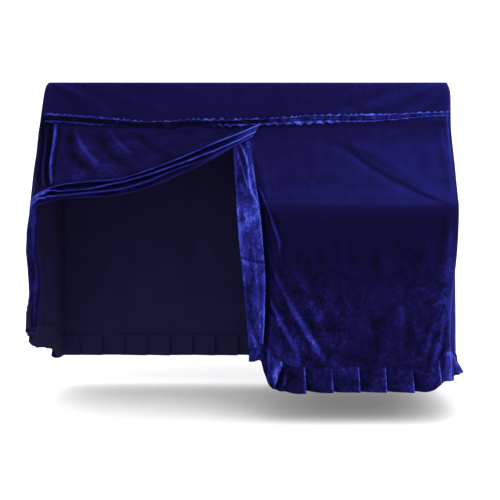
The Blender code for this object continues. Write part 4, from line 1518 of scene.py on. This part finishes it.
@dataclass
class LeftSide(Side):
    """The left side, its hem rising to the front where the tail pulls it."""

    valance_share: float = 0.25
    seam_rows: Tuple[float, ...] = (-0.132, -0.250, -0.370, -0.500, -0.640, -0.770, -0.885)
    folds: Folds = Side.folds + (
        Fold(-0.190, -0.300, -0.020, -0.900, 0.010, 0.018, 0.008),
        Fold(0.010, -0.300, 0.010, -1.000, 0.000, 0.020, -0.004),
    )

    def place(self, across: Array, down: Array) -> Array:
        """Points of the left side.

        Args:
            across: Share across of each point.
            down: Share down of each point.

        Returns:
            The points.
        """
        upper = blend(FORM.top_line, self.seam_rows[0], down / self.valance_share)
        station = (down - self.valance_share) / (1.0 - self.valance_share)
        station = station * (len(self.seam_rows) - 1)
        lower = np.interp(station, range(len(self.seam_rows)), self.seam_rows)
        height = np.where(down <= self.valance_share, upper, lower)
        seam = FORM.left_seam(height)
        back = FORM.half_depth - FORM.back_corner - SIDE_SEAM
        y = blend(seam[:, 1] + SIDE_SEAM, back, across)
        extra = FORM.left_hem.at(y) - self.seam_rows[-1]
        x = blend(-seam[:, 0], FORM.back_half(height), ease(0.0, 0.7, across))
        free = ease(0.0, 0.15, across) * ease(-0.1, -0.4, height)
        x = x + folded(self.folds, y, height) * free
        small = self.ripple * uneven(y * 11.0, height * 3.0, 62, 3)
        x = x + free * small * ease(1.0, 0.96, across)
        x, y = tucked_under(x, y, across)
        return spaced(-x, y, height + extra * ease(-0.3, self.seam_rows[-1], height))


@dataclass
class Back(ClothPiece):
    """The back, around both back corners to the sides' seams."""

    corner_share: float = 0.04      # share of its columns on each corner
    ripple: float = 0.002
    crushing: Shades = (Shade(0.30), Shade(0.35, (("z", -0.4, -0.9),)))
    folds: Folds = (
        Fold(-0.560, -0.100, -0.540, -1.030, 0.010, 0.050, 0.009),
        Fold(-0.380, -0.200, -0.400, -1.030, 0.000, 0.035, 0.006),
        Fold(-0.200, -0.150, -0.230, -1.030, 0.010, 0.050, 0.009),
        Fold(0.020, -0.250, -0.010, -1.030, 0.000, 0.035, 0.006),
        Fold(0.180, -0.120, 0.200, -1.030, 0.000, 0.050, 0.010),
        Fold(0.370, -0.200, 0.380, -1.030, 0.000, 0.035, 0.006),
        Fold(0.540, -0.100, 0.560, -1.030, 0.000, 0.050, 0.009),
    )

    def place(self, across: Array, down: Array) -> Array:
        """Points of the back.

        Args:
            across: Share across of each point.
            down: Share down of each point.

        Returns:
            The points.
        """
        height = blend(FORM.top_line, FORM.hem_line, down)
        depth = FORM.back(height)
        c, radius = self.corner_share, FORM.back_corner
        flat = np.clip((across - c) / (1.0 - 2.0 * c), 0.0, 1.0)
        half = FORM.back_half(height) - radius
        x = blend(half, -half, flat)
        turn = np.where(across < c, 1.0 - across / c, np.minimum(1.0 - c - across, 0.0) / c)
        angle = np.radians(90.0 * turn)
        flare = 1.0 + (depth - FORM.half_depth) / radius
        point = spaced(x + np.sin(angle) * radius,
                       FORM.half_depth - radius + np.cos(angle) * radius * flare, height)
        inside = ease(0.0, 0.06, flat) * ease(1.0, 0.94, flat)
        lift = folded(self.folds, x, height)
        lift = lift + self.ripple * uneven(x * 6.0, height * 3.0, 71, 3) * ease(0.0, 0.1, down)
        point[:, 1] += lift * inside
        return point


# ------------------------------------------------------------------ ruffles
@dataclass(frozen=True)
class Pleats:
    """Knife pleats of a ruffle, each folded edge lying over the next pleat."""

    width: float = 0.095            # width of one pleat
    start: float = 0.187            # where one pleat begins
    depth: float = 0.019            # how far a pleat stands out at the hem
    drop: float = 0.080             # depth of the ruffle
    # along one pleat: share of the cloth, place, rise and height of the layers
    turn: Tuple[float, ...] = (0.0, 0.36, 0.70, 0.79, 0.82, 0.86, 1.0)
    reach: Tuple[float, ...] = (0.0, 0.50, 1.05, 1.19, 1.20, 1.17, 1.0)
    rise: Tuple[float, ...] = (0.0, 0.55, 0.94, 1.0, 0.90, 0.66, 0.0)
    stack: Tuple[float, ...] = (0.0, 0.0020, 0.0044, 0.0048, 0.0034, 0.0020, 0.0)
    plain_stack: float = 0.0022     # what the layers' rise is where it isn't pleated
    sway: float = 0.006             # how far single pleats hang aside
    ripple: float = 0.0032          # depth of the pleats' small waves at the hem
    allowance: float = 0.010        # cloth that runs up behind the seam
    allowance_sink: float = 0.0026  # and how far it lies in

    def shape(self, edge: Array, out: Array, along: Array, down: Array, depth: Array,
              drop: Array, free: Array, seed: int) -> Array:
        """Hang pleats from a seam.

        Args:
            edge: Points of the seam.
            out: Ways out of the cloth there.
            along: Distance along the seam.
            down: Share of the ruffle's depth.
            depth: How far each pleat stands out at the hem.
            drop: Depth of the ruffle.
            free: How freely it pleats, from 0 where it meets its neighbour to 1.
            seed: Number of its unevenness.

        Returns:
            The ruffle's points.
        """
        number = np.floor((along - self.start) / self.width)
        share = (along - self.start) / self.width - number
        station = np.interp(share, self.turn, range(len(self.turn)))
        reach = through(np.array(self.reach), station)
        rise = blend(0.5, through(np.array(self.rise), station), free)
        stack = blend(self.plain_stack, through(np.array(self.stack), station), free)
        own = free * uneven(number * 0.37 + 0.5, number * 0.0 + seed, seed)
        tangent = unit(np.cross(out, UP))
        opened = 0.16 + 0.84 * down ** 0.7
        aside = self.width * (reach - share) * (0.92 + 0.08 * down)
        aside = free * (aside + self.sway * own * down * np.sin(math.pi * share))
        order = np.argsort(along)
        seam_height = np.interp(along + aside, along[order], edge[order, 2])
        ripple = free * uneven(along * 26.0, down * 1.5 + seed, seed + 1, 2)
        hidden = ease(0.05, 0.0, down)
        lift = depth * (0.80 + 0.35 * own) * rise * opened + stack + self.ripple * ripple * down
        lift = lift * (1.0 - hidden) - self.allowance_sink * hidden
        fall = drop * (0.99 + 0.02 * own + 0.03 * rise + 0.010 * ripple)
        point = edge + out * lift[:, None] - tangent * aside[:, None]
        point[:, 2] = seam_height - SEAM - fall * down + self.allowance * hidden
        return point


@dataclass
class Ruffle(ClothPiece):
    """A pleated ruffle that hangs from another piece's hem."""

    above: Optional[ClothPiece] = None
    pleats: Pleats = Pleats()
    seed: int = 80
    slot: str = "velvet_trim"
    fold_size: float = 0.0026
    tones: Shades = (Shade(0.23),)
    crushing: Shades = (Shade(0.85),)

    def seam(self, across: Array) -> Tuple[Array, Array, Array]:
        """Follow the seam of the piece above.

        Args:
            across: Share of the ruffle's length.

        Returns:
            Points, ways out and distances along.
        """
        raise NotImplementedError

    def depth(self, across: Array, edge: Array) -> Array:
        """How far each pleat stands out at the hem."""
        return self.pleats.depth + 0.0 * across

    def drop(self, across: Array, edge: Array) -> Array:
        """How deep the ruffle hangs."""
        return self.pleats.drop + 0.0 * across

    def place(self, across: Array, down: Array) -> Array:
        """Points of the ruffle.

        Args:
            across: Share across of each point.
            down: Share down of each point.

        Returns:
            The points.
        """
        edge, out, along = self.seam(across)
        return self.pleats.shape(edge, out, along, down, self.depth(across, edge),
                                 self.drop(across, edge), self.pleating(across, edge), self.seed)

    def pleating(self, across: Array, edge: Array) -> Array:
        """How freely the ruffle pleats: not at all where it meets its neighbours."""
        reach = 0.030 / self.cut.width
        return ease(0.0, reach, across) * ease(1.0, 1.0 - reach, across)

    def pile_and_light(self, measures: Measures) -> Array:
        """Painted light and shade: highlights on the pleats' folded edges, painted shadow beside
        them.

        Args:
            measures: Values of each measure, by its name.

        Returns:
            The tone at each point.
        """
        down, along = measures["down"], self.seam(measures["across"])[2]
        place = (along - self.pleats.start) / self.pleats.width
        share = place % 1.0
        # painted highlight on each folded edge, painted shadow beside it and under the seam, and
        # uneven tone for each pleat and its gathers
        crest = bump(share, 0.80, 0.03)
        shadow = ease(0.50, 0.18, share) + ease(0.84, 0.90, share)
        own = uneven(np.floor(place) * 0.61, 0.0 * place + 3.0, self.seed + 3)
        gathers = uneven(along * 75.0, down * 1.2, 81) * ease(0.75, 0.0, down)
        tone = 0.28 * crest - 0.09 * shadow + 0.06 * own - 0.08 * ease(0.22, 0.05, down)
        tone = tone + 0.12 * gathers + 0.05 * uneven(along * 20.0, down * 2.0, 82)
        return shaded(self.tones, measures) + tone


@dataclass
class ClosedCurtainRuffle(Ruffle):
    """Ruffle of the closed curtain, bunched up where the curtain opens."""

    drops: Line = Line((            # place across, drop
        (-0.020, 0.038), (0.030, 0.044), (0.044, 0.052), (0.057, 0.098), (0.070, 0.110),
        (0.100, 0.104), (0.150, 0.086), (0.200, 0.079), (0.650, 0.078), (0.672, 0.086),
        (0.690, 0.096), (0.800, 0.098)))
    edge_share: float = 0.17        # share of its columns under the turned edge
    edge_reach: float = 0.044       # and how far across that hem counts for the drop
    crumple: float = 0.0035         # depth of the crumples at the opening
    bunch: float = 0.012            # how far the fold over the bunch stands out
    # painted highlights around the right corner, painted shade beside the bunch
    tones: Shades = (               # brighter around the corner, dark beside the bunch
        Shade(0.23), Shade(0.14, (("x", 0.60, 0.66),)), Shade(0.26, (("x", 0.68, 0.72),)),
        Shade(-0.06, (("x", 0.10, 0.12), ("x", 0.16, 0.14))))

    def seam(self, across: Array) -> Tuple[Array, Array, Array]:
        """Follow the closed curtain's hem around its corner.

        Args:
            across: Share across of each point.

        Returns:
            Points, ways out and distances along.
        """
        edge = self.above.place(across, np.ones_like(across))
        turned = np.maximum(across - 1.0 + FORM.curtain_corner, 0.0) / FORM.curtain_corner
        return edge, outward(turned), edge[:, 0] + 2.0 * FORM.corner * turned

    def depth(self, across: Array, edge: Array) -> Array:
        """Half as deep at the opening."""
        return self.pleats.depth * (1.0 - 0.5 * ease(0.16, 0.06, edge[:, 0]))

    def drop(self, across: Array, edge: Array) -> Array:
        """Short under the turned edge, long behind it and at the right corner."""
        turned_edge = np.minimum(edge[:, 0], self.edge_reach)
        return self.drops.at(np.where(across < self.edge_share, turned_edge, edge[:, 0]))

    def pleating(self, across: Array, edge: Array) -> Array:
        """Pleated from past the turned edge, where it is only bunched, to the corner."""
        return ease(0.120, 0.175, edge[:, 0]) * ease(0.705, 0.668, edge[:, 0])

    def bunched(self, x: Array, down: Array) -> Array:
        """The fold that covers the bunch, its edge leaning in towards the opening."""
        edge = 0.122 - 0.032 * down
        return ease(0.060, 0.100, x) * ease(edge + 0.005, edge, x)

    def place(self, across: Array, down: Array) -> Array:
        """Points of the ruffle, crumpled where the curtain opens.

        Args:
            across: Share across of each point.
            down: Share down of each point.

        Returns:
            The points.
        """
        point = super().place(across, down)
        x = point[:, 0]
        loose = ease(0.160, 0.120, x) * np.sin(math.pi * np.clip(down, 0.0, 0.8))
        crumple = np.sin(2.0 * math.pi * (x / 0.034 + 0.8 * down))
        crumple = crumple + uneven(x * 60.0, down * 3.0, 92, 2)
        point[:, 1] -= self.crumple * loose * (0.7 + crumple)
        point[:, 1] -= self.bunch * self.bunched(x, down) * ease(0.0, 0.4, down)
        return point

    def pile_and_light(self, measures: Measures) -> Array:
        """Painted light: highlights where it is bunched and at its crumpled end.

        Args:
            measures: Values of each measure, by its name.

        Returns:
            The tone at each point.
        """
        x, down = measures["x"], measures["down"]
        creased = 0.42 + 0.24 * uneven(x * 60.0, down * 4.0, 93, 2)
        looped = 0.20 + 0.26 * uneven(x * 55.0, down * 2.2, 94, 2)
        return (super().pile_and_light(measures) + creased * self.bunched(x, down)
                + looped * ease(0.05, 0.04, x))


@dataclass
class SideRuffle(Ruffle):
    """Ruffle of a side."""

    way: float = 1.0                # 1 on the right, -1 on the left
    flare: Tuple[float, float, float] = (0.034, -0.018, 0.010)      # at the right front

    def seam(self, across: Array) -> Tuple[Array, Array, Array]:
        """Follow the side's hem."""
        edge = self.above.place(across, np.ones_like(across))
        return edge, outward(self.way + 0.0 * across), 1.0 + self.way * edge[:, 1]

    def place(self, across: Array, down: Array) -> Array:
        """Points of the ruffle, flaring out at the right front.

        Args:
            across: Share across of each point.
            down: Share down of each point.

        Returns:
            The points.
        """
        point = super().place(across, down)
        if self.way > 0.0:
            reach = ease(-0.340, -0.385, point[:, 1]) * ease(-0.425, -0.392, point[:, 1]) * down
            point += reach[:, None] * self.flare
        return point


@dataclass
class BackRuffle(Ruffle):
    """Ruffle of the back."""

    def seam(self, across: Array) -> Tuple[Array, Array, Array]:
        """Follow the back's hem around both corners.

        Args:
            across: Share across of each point.

        Returns:
            Points, ways out and distances along.
        """
        edge = self.above.place(across, np.ones_like(across))
        corner = FORM.back_half(edge[:, 2]) - FORM.back_corner
        over = np.clip((np.abs(edge[:, 0]) - corner) / FORM.back_corner, 0.0, 1.0)
        out = outward(np.sign(edge[:, 0]) * over) * (1.0, -1.0, 1.0)
        return edge, out, 1.0 - edge[:, 0]


@dataclass
class TailRuffle(Ruffle):
    """Ruffle of the drawn curtain's tail, on the left."""

    def seam(self, across: Array) -> Tuple[Array, Array, Array]:
        """Follow the tail's end from the side's seam to the free edge."""
        edge = self.above.place(np.ones_like(across), across)
        return edge, outward(-1.0 + 0.0 * across), 1.0 - edge[:, 1]


# ------------------------------------------------------------------ studio
@dataclass
class Studio:
    """Pale floor that rises into a backdrop, soft lights and the camera."""

    floor: float = -1.235           # height of the floor under the piano's castors
    half_width: float = 9.0
    near: float = -9.0
    far: float = 5.0
    backdrop: float = 9.0           # height of the backdrop
    sweep: float = 2.0              # radius between floor and backdrop
    glow: float = 1.5               # strength of the light from all around
    eye: Tuple[float, float, float] = (0.0, -4.03, -0.271)
    lens: float = 72.576            # focal length and sensor width in millimetres
    sensor: float = 36.0
    shift: Tuple[float, float] = (0.004, -0.192)

    def build(self) -> None:
        """Put the studio around the cover."""
        self.build_paper()
        self.build_camera()
        self.build_lights()

    def build_paper(self) -> None:
        """Make the floor, and pull its far edge up into the backdrop."""
        bpy.ops.object.select_all(action="DESELECT")
        bpy.ops.mesh.primitive_plane_add(size=1.0, location=(0.0, 0.0, self.floor))
        paper = bpy.context.object
        paper.name = paper.data.name = "studio_floor"
        paper.scale = (2.0 * self.half_width, self.far - self.near, 1.0)
        paper.location.y = (self.far + self.near) / 2.0
        bpy.ops.object.transform_apply(location=True, rotation=True, scale=True)
        bpy.ops.object.mode_set(mode="EDIT")
        bpy.ops.mesh.select_mode(type="EDGE")
        bpy.ops.mesh.select_all(action="DESELECT")
        bpy.ops.object.mode_set(mode="OBJECT")
        mesh = paper.data
        for edge in mesh.edges:
            edge.select = all(mesh.vertices[i].co.y > self.far - 0.01 for i in edge.vertices)
        bpy.ops.object.mode_set(mode="EDIT")
        rise = {"value": (0.0, 0.0, self.backdrop)}
        bpy.ops.mesh.extrude_region_move(TRANSFORM_OT_translate=rise)
        bpy.ops.object.mode_set(mode="OBJECT")
        curve = paper.modifiers.new("sweep", "BEVEL")
        curve.width = self.sweep
        curve.segments = 16
        curve.limit_method = "ANGLE"
        bpy.ops.object.modifier_apply(modifier=curve.name)
        bpy.ops.object.shade_smooth()
        paper.data.materials.append(StudioPaper().make())

    def build_camera(self) -> None:
        """Stand the camera level before the cover."""
        data = bpy.data.cameras.new("camera")
        data.lens = self.lens
        data.sensor_width = self.sensor
        data.shift_x, data.shift_y = self.shift
        camera = bpy.data.objects.new("camera", data)
        camera.location = self.eye
        camera.rotation_euler = (math.radians(90.0), 0.0, 0.0)
        bpy.context.scene.collection.objects.link(camera)
        bpy.context.scene.camera = camera

    def build_lights(self) -> None:
        """Hang a broad soft light above and before the cover, with weaker ones at its sides."""
        self.light("key", (0.4, -2.6, 2.8), (0.0, -0.3, -0.5), 3.6, 70.0)
        self.light("left", (-3.4, -2.4, 0.6), (-0.4, -0.2, -0.6), 2.0, 14.0)
        self.light("right", (3.4, -2.0, 0.6), (0.5, -0.2, -0.6), 2.0, 26.0)
        world = bpy.data.worlds.new("studio")
        world.use_nodes = True
        ground = world.node_tree.nodes["Background"].inputs
        ground["Color"].default_value = (1.0, 1.0, 1.0, 1.0)
        ground["Strength"].default_value = self.glow
        bpy.context.scene.world = world
        bpy.context.scene.view_settings.view_transform = "Standard"

    def light(self, name: str, place: Sequence[float], aim: Sequence[float], size: float,
              power: float) -> None:
        """Add one square soft light.

        Args:
            name: Name of the light.
            place: Where it hangs.
            aim: The point that it faces.
            size: Its side.
            power: Its power in watts.
        """
        data = bpy.data.lights.new(name, "AREA")
        data.size = size
        data.energy = power
        lamp = bpy.data.objects.new(name, data)
        lamp.location = place
        lamp.rotation_euler = (Vector(aim) - Vector(place)).to_track_quat("-Z", "Y").to_euler()
        bpy.context.scene.collection.objects.link(lamp)


# ------------------------------------------------------------------ the whole cover
@dataclass
class PianoCover:
    """All the pieces of the cover, in the order in which they are sewn."""

    def pieces(self) -> Tuple[ClothPiece, ...]:
        """Size every piece.

        Returns:
            The pieces, in the order in which they are built.
        """
        gathered = Held.GATHERED
        closed = ClosedCurtain("right_curtain", 220, 170, Cut(0.98, 1.00))
        drawn = DrawnCurtain("left_curtain", 230, 140, Cut(0.81, 0.89, gathered, area=0.60),
                             turned_over=True)
        right = RightSide("right_side_panel", 56, 120, Cut(0.62, 1.05, area=0.55))
        left = LeftSide("left_side_panel", 70, 110, Cut(0.46, 1.05, area=0.40), turned_over=True)
        back = Back("back_panel", 150, 80, Cut(1.56, 1.05))
        return (
            TopPanel("top_panel", 120, 40, Cut(1.53, 0.38, Held.LAID)),
            Valance("front_valance", 300, 40, Cut(1.60, 0.16)),
            ShirredBand("shirred_band", 900, 18, Cut(1.72, 0.036, gathered), "velvet_trim"),
            closed, drawn, right, left, back,
            ClosedCurtainRuffle("right_curtain_ruffle", 420, 24, Cut(1.06, 0.085, gathered),
                                above=closed, seed=82),
            # the right side's ruffle gets a painted highlight where it flares at the front; the
            # left side's ruffle is darker all over
            SideRuffle("right_side_ruffle", 260, 20, Cut(0.84, 0.085, gathered), above=right,
                       tones=(Shade(0.23), Shade(0.40, (("y", -0.33, -0.39),))), seed=84),
            BackRuffle("back_ruffle", 560, 16, Cut(2.18, 0.085, gathered), above=back, seed=86),
            SideRuffle("left_side_ruffle", 200, 20, Cut(0.62, 0.085, gathered), above=left,
                       turned_over=True, pleats=Pleats(depth=0.0095), way=-1.0,
                       tones=(Shade(0.07),), seed=88),
            TailRuffle("left_curtain_ruffle", 240, 20, Cut(0.48, 0.085, gathered), above=drawn,
                       pleats=Pleats(width=0.046, start=0.264, depth=0.004), seed=90),
        )

    def build(self) -> None:
        """Build and dress every piece."""
        velvets = {"velvet": Velvet("velvet_pile").make(),
                   "velvet_trim": Velvet("velvet_trim_pile").make()}
        backing = WrongSide().make()
        for piece in self.pieces():
            piece.dress(piece.build(), velvets[piece.slot], backing)


def main() -> None:
    """Build the cover and the studio."""
    PianoCover().build()
    Studio().build()
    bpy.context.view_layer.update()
    LOG.info("sizes written")


if __name__ == "__main__":
    main()
